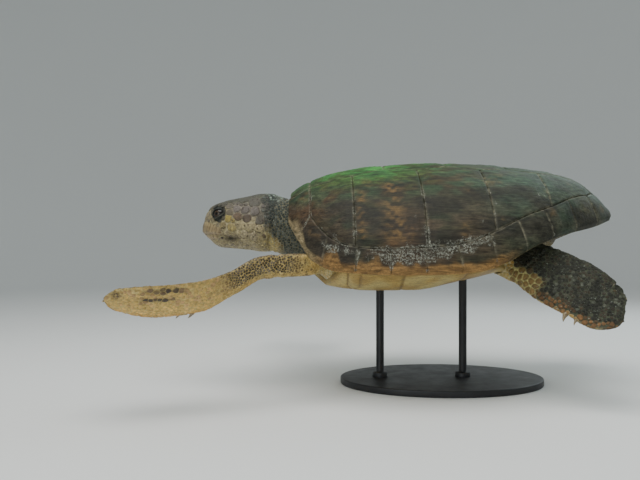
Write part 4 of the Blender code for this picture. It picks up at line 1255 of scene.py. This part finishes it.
# Shares of the way round a marginal's wedge section where its outer face, rim, underside and inner face end
OUTER, RIM, UNDER, INNER = 0.5, 0.6, 0.82, 0.92
MARGINALS = ((0.014, 2),) + tuple((k, k + 1) for k in range(2, 12)) + ((12, 13.985),)
MARGINAL_GAP = 0.014  # between one marginal and the next, in stations


def marginal_surface(k, t, sign, ends):
    """Level points at stations k and shares t round the section, with their v and distance from the edge."""
    seam_u, seam_v = (np.interp(k, stations, column) for column in seam_table.T)
    rim_u, rim_v = (np.interp(k, stations, column) for column in rim_table.T)
    top, rim = dome(seam_u, seam_v * sign), dome(rim_u, rim_v * sign)
    inward = unit((top - rim) * (1, 1, 0))
    width = np.linalg.norm(top - rim, axis=1)
    onward = dome(np.interp(k + 0.02, stations, rim_table[:, 0]), rim_v * sign)
    pace = np.maximum(np.linalg.norm(onward - rim, axis=1) / 0.02, 0.05)
    from_end = np.minimum(k - ends[0], ends[1] - k) * pace
    w = np.clip(t / OUTER, 0, 1)
    u, v = seam_u + (rim_u - seam_u) * w, (seam_v + (rim_v - seam_v) * w) * sign
    edge = np.minimum(from_end, w * width)
    level = dome(u, v, wear(dome(u, v), edge) * (1 - 0.6 * step(0.7, 1, w)))
    lower = rim + inward * 0.004 - np.array((0, 0, RIM_THICK))
    flat = rim + inward * UNDERSIDE - np.array((0, 0, RIM_THICK + 0.003))
    deep = dome(seam_u, seam_v * sign, PLATE)
    outer_end = dome(rim_u, rim_v * sign, wear(rim, from_end) * 0.4)
    outer_start = dome(seam_u, seam_v * sign, wear(top, np.zeros(len(t))))
    for low, high, start, end in ((OUTER, RIM, outer_end, lower), (RIM, UNDER, lower, flat),
                                  (UNDER, INNER, flat, deep), (INNER, 1, deep, outer_start)):
        w = ((t - low) / (high - low))[:, None]
        level = np.where((t > low)[:, None], start + (end - start) * np.clip(w, 0, 1), level)
    groove = np.exp(-(from_end / 0.0016) ** 2) * (t > OUTER) * (t < UNDER)
    return level + inward * (groove * 0.0009)[:, None], v, edge


for side, sign in (("left", -1), ("right", 1)):
    bm = bmesh.new()
    tint_layer = bm.verts.layers.float_color.new("tint")
    crust_layer = bm.verts.layers.float.new("crust")
    for first, last in MARGINALS:
        columns = int(STATION_COLUMNS * (last - first)) + 4
        made = bmesh.ops.create_grid(bm, x_segments=columns, y_segments=SECTION_ROWS, size=0.5)["verts"]
        s, t = np.array([(vert.co.x + 0.5, vert.co.y + 0.5) for vert in made]).T
        k = first + (last - first) * (s + (0.5 - s) * MARGINAL_GAP / (last - first))
        level, v, edge = marginal_surface(k, t, sign, (first, last))
        x = level[:, 0]
        colour, crust = weather(level, v, edge)
        # the rim is pale in front, orange-brown along the middle and dark behind; the underside is yellow
        tongues = 0.045 * step(-0.1, 0.5, cloudy(level * (1, 0.3, 0.3), 0.035, 62))
        tongues = tongues * (1 - step(-0.22, 0.05, x))
        rim_share = 1 - step(0.004, 0.017 + tongues, above_rim(level) + 0.003 * cloudy(level, 0.03, 61))
        colour = lay(RIM_TAN, colour, rim_share * (1 - step(-0.37, -0.31, x)) * 0.8)
        colour = lay(RIM_ORANGE, colour, rim_share * (step(-0.37, -0.31, x) * (1 - step(0.06, 0.16, x))))
        below = step(RIM - 0.03, RIM + 0.05, t) * (t < INNER) * (1 - 0.75 * step(0.1, 0.25, x))
        colour = lay(BELLY, colour, below)
        crust = crust * (t < OUTER + 0.04)
        for vert, place, shade, grains in zip(made, banked(level), colour, crust):
            vert.co = place
            vert[tint_layer] = (*shade, 1)
            vert[crust_layer] = grains
        bmesh.ops.remove_doubles(bm, verts=made, dist=1e-5)
    bmesh.ops.holes_fill(bm, edges=bm.edges, sides=0)
    settle(finished(f"marginal_plates_{side}", bm), carapace_horn, "carapace", f"shell_marginals_{side}")


# ---- Plastron ----
# The belly shell: one yellow horn-faced casting, level in the middle and rising to the rim at the
# bridges. Shallow seams part its gular, humeral, pectoral, abdominal, femoral and anal plates.

FLAT_HALF_WIDTH = 0.15
plastron_height = smooth_line(((0.06, -0.084), (0.13, -0.104), (0.25, -0.115), (0.37, -0.113),
                               (0.51, -0.087), (0.6, -0.069), (0.8, -0.04)))
plastron_half = smooth_line(((0.07, 0.05), (0.1, 0.125), (0.13, 0.2), (0.18, 0.27), (0.3, 0.296),
                             (0.42, 0.298), (0.54, 0.28), (0.6, 0.235), (0.66, 0.15), (0.76, 0.09),
                             (0.8, 0.03)))
PLASTRON_ENDS = (0.0705, 0.7995)
# Seams across the plastron: where they cross the midline, and how far back they sweep at the flank
CROSS_SEAMS = ((0.125, 0.05), (0.225, -0.03), (0.36, -0.02), (0.50, 0.0), (0.655, 0.03))
BRIDGE_SEAM = 0.165  # half distance between the seams that part the middle plates from the bridge


def plastron_level(u, y):
    """Level points of the plastron's outer surface."""
    bridge = np.maximum(half_width(u) - UNDERSIDE - FLAT_HALF_WIDTH, 0.085)
    rise = np.clip((np.abs(y) - FLAT_HALF_WIDTH) / bridge, 0, 1) ** 1.5
    low, top = plastron_height(u), rim_height(u) - RIM_THICK - 0.009
    return np.stack([SHELL_FRONT + SHELL_LENGTH * u, y, low + np.maximum(top - low, 0) * rise], -1)


mesh, s, t, under = two_layers("plastron_plates", 170, 150)
u = PLASTRON_ENDS[0] + (PLASTRON_ENDS[1] - PLASTRON_ENDS[0]) * s
half = plastron_half(u)
y = half * (2 * t - 1)
flank = np.abs(y) / FLAT_HALF_WIDTH
gaps = [np.abs(u - at - sweep * np.minimum(flank, 1.3) ** 2) * SHELL_LENGTH for at, sweep in CROSS_SEAMS]
gaps.append(np.abs(y + 0.004 * np.sin(u * 30)) + 0.2 * (u < 0.08))
gaps.append(np.abs(np.abs(y) - BRIDGE_SEAM) + 0.2 * ((u < 0.2) | (u > 0.56)))
seam = np.min(gaps, axis=0)
level = plastron_level(u, y)
edge = np.minimum(half * (1 - np.abs(2 * t - 1)), np.minimum(s, 1 - s) * 0.64)
groove = 0.0016 * np.exp(-(seam / 0.0028) ** 2) + 0.0008 * np.exp(-(seam / 0.009) ** 2)
groove = groove + 0.003 * (1 - np.sqrt(1 - (1 - np.clip(edge / 0.007, 0, 1)) ** 2))
groove = groove + 0.0008 + 0.0006 * cloudy(level, 0.07, 71)
level[:, 2] += np.where(under, PLATE_DEPTH, groove)
level[:, 1] += np.where(under, (0.5 - t) * 0.02, 0)
patch, fine = cloudy(level, 0.07, 72), cloudy(level, 0.02, 73)
browned = 0.35 * step(-0.2, 0.8, patch) + 0.2 * step(0.1, 0.22, np.abs(y))
tint = lay(RIM_ORANGE, np.tile(BELLY, (len(level), 1)), browned)
tint = lay((0.5, 0.43, 0.2), tint, 0.5 * step(0, 0.8, -patch))
soiled = 0.85 * np.exp(-(seam / 0.0024) ** 2) + 0.25 * (1 - step(0, 0.02, edge))
tint = lay((0.12, 0.07, 0.03), tint, soiled)
move_to(mesh, banked(level))
add_tint(mesh, tint * (1 + 0.1 * fine)[:, None])
add_values(mesh, "crust", 0.2 * (1 - step(0.002, 0.01, seam)) + 0.1 * step(0.3, 0.9, patch))
settle(mesh, weathered_horn("plastron_horn", 0.5, 0.22), "plastron", "plastron")


# ---- Eyes and eyelids ----
# Glossy resin balls, near black, with a brown iris round a wide pupil, under thick dark
# lids that leave an almond opening tipped down towards the beak.

iris_paint, tree, shader = material("eye_resin", (0.02, 0.016, 0.012), 0.14, specular=0.35)
ring = painted(tree, "iris", "Fac")
fibre = spread(tree, noise(tree, 900, 3), 0.35, 0.65, 0.5, 1.3)
brown = mix(tree, 1.0, (0.045, 0.026, 0.012), fibre, "MULTIPLY")
pupil = mix(tree, spread(tree, ring, 0.2, 0.24), (0.004, 0.004, 0.004), brown)
eye_colour = mix(tree, spread(tree, ring, 0.42, 0.5), pupil, (0.012, 0.01, 0.009))
tree.links.new(eye_colour, shader.inputs["Base Color"])
bump(tree, shader, noise(tree, 60, 1), 0.0002)
lid_skin = painted_hide("lid_skin", 0.5, 700, 0.0005)
LID_THICK = 0.0013
LID_RADIUS = EYE_RADIUS + 0.0006
LID_TILT = math.radians(-24)
LID_WIDTH = math.radians(172)  # from one corner to the other
LID_REACH = math.radians(84)  # from the line of sight out into the socket

for side, sign in (("left", 1), ("right", -1)):
    centre = EYE * (1, sign, 1)
    # straight out of the socket, along the lids' opening, and square to both
    look = unit(np.array((-0.42, -0.88 * sign, 0.13)))
    along = unit(np.cross(look, (0, 0, 1)) * -sign)
    along = unit(along - look * (along @ look))
    upward = np.cross(along, look) * sign
    upward *= np.sign(upward[2])
    if along[0] > 0:
        along = -along
    along, upward = (along * math.cos(LID_TILT) + upward * math.sin(LID_TILT),
                     upward * math.cos(LID_TILT) - along * math.sin(LID_TILT))

    bm = bmesh.new()
    bmesh.ops.create_uvsphere(bm, u_segments=64, v_segments=40, radius=EYE_RADIUS - 0.0003)
    turn = Vector((0, 0, 1)).rotation_difference(Vector(look)).to_matrix()
    bmesh.ops.rotate(bm, cent=(0, 0, 0), matrix=turn, verts=bm.verts)
    bmesh.ops.translate(bm, vec=Vector(centre), verts=bm.verts)
    mesh = finished("eyeball_" + side, bm)
    add_values(mesh, "iris", np.arccos(np.clip(unit(coordinates(mesh) - centre) @ look, -1, 1)))
    settle(mesh, iris_paint, "eye", "eye_" + side)

    for lid, way, gape in (("upper", 1, 34), ("lower", -1, 25)):
        mesh, s, b, inner = two_layers(f"eyelid_{lid}_{side}", 44, 16)
        # a runs from corner to corner of the opening, b from its edge out to the socket
        a = (s - 0.5) * LID_WIDTH
        opening = math.radians(gape) * np.maximum(np.cos(a * 1.32), 0) ** 0.8
        climb = opening + (LID_REACH - opening) * b
        thick = LID_THICK * (0.6 + 0.4 * step(0, 0.25, b)) + 0.0013 * band(b, 0.12, 0.1)
        thick = thick - 0.0016 * step(0.55, 1, b)
        thick = thick + 0.0005 * np.cos(b * 22) * step(0.1, 0.3, b) * (1 - step(0.6, 0.9, b))
        radius = LID_RADIUS + np.where(inner, -0.0002, thick)
        place = centre + radius[:, None] * (look * (np.cos(a) * np.cos(climb))[:, None]
                                            + along * (np.sin(a) * np.cos(climb))[:, None]
                                            + upward * (way * np.sin(climb))[:, None])
        move_to(mesh, place)
        tint = np.array((0.03, 0.034, 0.03)) * (0.8 + 0.5 * b)[:, None]
        add_tint(mesh, lay((0.12, 0.11, 0.08), tint, 0.6 * band(b, 0.1, 0.06) * (way < 0)))
        settle(mesh, lid_skin, "skin")


# ---- Beak ----
# Two horny sheaths over the jaws, cast in tan resin with darker streaks. The upper one hooks down
# over the lower in front. Each is a thin shell that hugs the snout and dies away towards the cheeks.

horn_paint, tree, shader = material("beak_horn", (0.28, 0.2, 0.1), 0.38)
tint = painted(tree, "tint")
streaks = noise(tree, 190, 4, 0.6, (1, 1, 0.22))
shaded = mix(tree, spread(tree, streaks, 0.36, 0.64), (0.42, 0.36, 0.3), (1.25, 1.2, 1.12))
grained(tree, shader, mix(tree, 1.0, tint, shaded, "MULTIPLY"), streaks, 0.3, 0.52)
first = bump(tree, shader, streaks, 0.0006)
bump(tree, shader, noise(tree, 420, 4, 0.7), 0.0004, under=first)

for name, reach in (("upper", 93), ("lower", 80)):
    mesh, s, rise, inner = two_layers("beak_" + name, 96, 22)
    across = (s - 0.5) * 2
    turn = np.radians(across * reach)
    way = np.stack([-np.cos(turn), np.sin(turn), np.zeros(len(s))], 1)
    # the edges' heights depend on where they meet the snout, so they are found in three rounds
    place = np.array((SNOUT, 0, 0.42)) + way * 0.045
    for _ in range(3):
        low, top, chin = beak_heights(place)
        bottom, peak = (low, top) if name == "upper" else (chin, low + 0.0004)
        height = bottom + (peak - bottom) * rise
        for number, level in enumerate(height):
            found, _, _, _ = hide_tree.ray_cast(Vector((SNOUT, 0, level)), Vector(way[number]), 0.09)
            reached = found or Vector(place[number])
            place[number] = (reached.x, reached.y, level)
    smooth = relax(place, read(mesh.edges, "vertices", 2, int), np.full(len(s), 0.5), 6)
    fade = 1 - step(0.72, 1, np.abs(across))
    if name == "upper":
        lift = 0.0006 + 0.0016 * fade * (1 - step(0.55, 1, rise)) + 0.0006 * band(rise, 0.05, 0.06)
    else:
        lift = 0.0004 + 0.0009 * fade * step(0, 0.5, rise)
    lift = lift + 0.0002 * cloudy(smooth, 0.012, 81)
    place = smooth + way * np.where(inner, -0.002, lift)[:, None]
    move_to(mesh, place)
    shade = np.tile((0.30, 0.235, 0.13), (len(s), 1))
    darkened = 0.6 * step(-0.1, 0.7, cloudy(place, 0.02, 82)) + 0.4 * (1 - step(0, 0.18, rise))
    shade = lay((0.12, 0.085, 0.045), shade, darkened)
    add_tint(mesh, lay((0.42, 0.36, 0.2), shade, 0.5 * step(0.6, 1, rise)))
    settle(mesh, horn_paint, "horn")


# ---- Claws ----
# Two curved horn claws on the leading edge of each flipper, the second smaller. Each is turned
# from dark horn, flattened, hooked towards the flipper's tip and set a little into the edge.

CLAW_HOOK = 0.26  # how much a claw curves, as a share of its length
CLAW_FLATNESS = 0.72
CLAW_TAPER = 0.75
claw_horn, tree, shader = material("claw_horn", (0.16, 0.115, 0.06), 0.35)
grain = noise(tree, 260, 4, 0.6)
streaked = mix(tree, spread(tree, grain, 0.3, 0.7), (0.07, 0.05, 0.028), (0.34, 0.26, 0.14))
grained(tree, shader, streaked, grain, 0.28, 0.46)
bump(tree, shader, grain, 0.0004)
for limb, (_, figures) in zip(FLESH[-4:], limb_tables):
    for number in (1, 2):
        cad = f"{limb}_claw_{number}"
        spike = coordinates(nodes[cad].data)
        middle = spike.mean(0)
        axis = np.linalg.svd(spike - middle)[2][0]
        # the axis is turned to run from the thick end to the point
        ends = (spike - middle) @ axis
        off_axis = np.linalg.norm(np.cross(spike - middle, axis), axis=1)
        wide = [off_axis[ends * way > 0.5 * (ends * way).max()].max() for way in (1, -1)]
        if wide[0] > wide[1]:
            axis, ends = -axis, -ends
        root, length, radius = middle + axis * ends.min(), ends.max() - ends.min(), max(wide)
        ahead = figures[((figures[:, CENTRE] - middle) ** 2).sum(1).argmin(), AHEAD]
        bend = unit(ahead - axis * (ahead @ axis))
        flat = np.cross(axis, bend)
        bm = bmesh.new()
        bmesh.ops.create_grid(bm, x_segments=18, y_segments=16, size=0.5)
        for vert in bm.verts:
            s, t = vert.co.x + 0.5, vert.co.y + 0.5
            wide_here = radius * (1 - s) ** CLAW_TAPER * (1 + 0.12 * math.sin(min(s * 9, math.pi)))
            centre = root + axis * length * (s - 0.06 * s**2) + bend * length * CLAW_HOOK * (s**2 - s)
            turn = 2 * math.pi * t
            vert.co = (centre + bend * wide_here * math.cos(turn)
                       + flat * wide_here * CLAW_FLATNESS * math.sin(turn))
        bmesh.ops.remove_doubles(bm, verts=bm.verts, dist=1e-5)
        bmesh.ops.holes_fill(bm, edges=bm.edges, sides=0)
        settle(finished(cad.replace("claw", "talon"), bm), claw_horn, "horn", cad)


# ---- Display stand ----
# An oval steel plate with a softened rim, and two round steel rods screwed up into the
# plastron, each standing in a low collar. All satin black.

steel_paint, tree, shader = material("stand_paint", (0.022, 0.022, 0.024), 0.42, 0.3)
peel = noise(tree, 320, 2)
dulled = mix(tree, spread(tree, noise(tree, 9, 4), 0.35, 0.7), (0.019, 0.019, 0.021), (0.03, 0.03, 0.032))
grained(tree, shader, dulled, noise(tree, 22, 5), 0.36, 0.52)
bump(tree, shader, peel, 0.0002)
RIM_ROUNDING = 0.0035
COLLAR_RADIUS = 0.021
COLLAR_HEIGHT = 0.014
low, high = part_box("stand_base")
bm = bmesh.new()
bmesh.ops.create_cone(bm, cap_ends=True, segments=160, radius1=0.5, radius2=0.5, depth=high.z - low.z)
bmesh.ops.scale(bm, vec=(high.x - low.x, high.y - low.y, 1), verts=bm.verts)
bmesh.ops.translate(bm, vec=(low + high) / 2, verts=bm.verts)
rims = [edge for edge in bm.edges if abs(edge.verts[0].co.z - edge.verts[1].co.z) < 1e-4]
bmesh.ops.bevel(bm, geom=rims, offset=RIM_ROUNDING, offset_type="OFFSET", segments=4, profile=0.5,
                affect="EDGES", material=-1)
settle(finished("stand_plate", bm), steel_paint, "stand", "stand_base")
base_top = high.z
collar_top = base_top + COLLAR_HEIGHT
for name in ("front", "rear"):
    low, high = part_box("stand_rod_" + name)
    x, radius = (low.x + high.x) / 2, (high.x - low.x) / 2
    # out and up the collar, in to the rod, and up to the plastron
    bm = turned(((0, base_top - 0.001), (COLLAR_RADIUS, base_top - 0.001),
                 (COLLAR_RADIUS, collar_top - 0.003), (COLLAR_RADIUS - 0.0015, collar_top - 0.0006),
                 (COLLAR_RADIUS - 0.004, collar_top), (radius + 0.0012, collar_top),
                 (radius, collar_top + 0.0012), (radius, high.z), (0, high.z)), 48)
    bmesh.ops.remove_doubles(bm, verts=bm.verts, dist=1e-5)
    bmesh.ops.translate(bm, vec=(x, 0, 0), verts=bm.verts)
    settle(finished("stand_post_" + name, bm), steel_paint, "stand", "stand_rod_" + name)
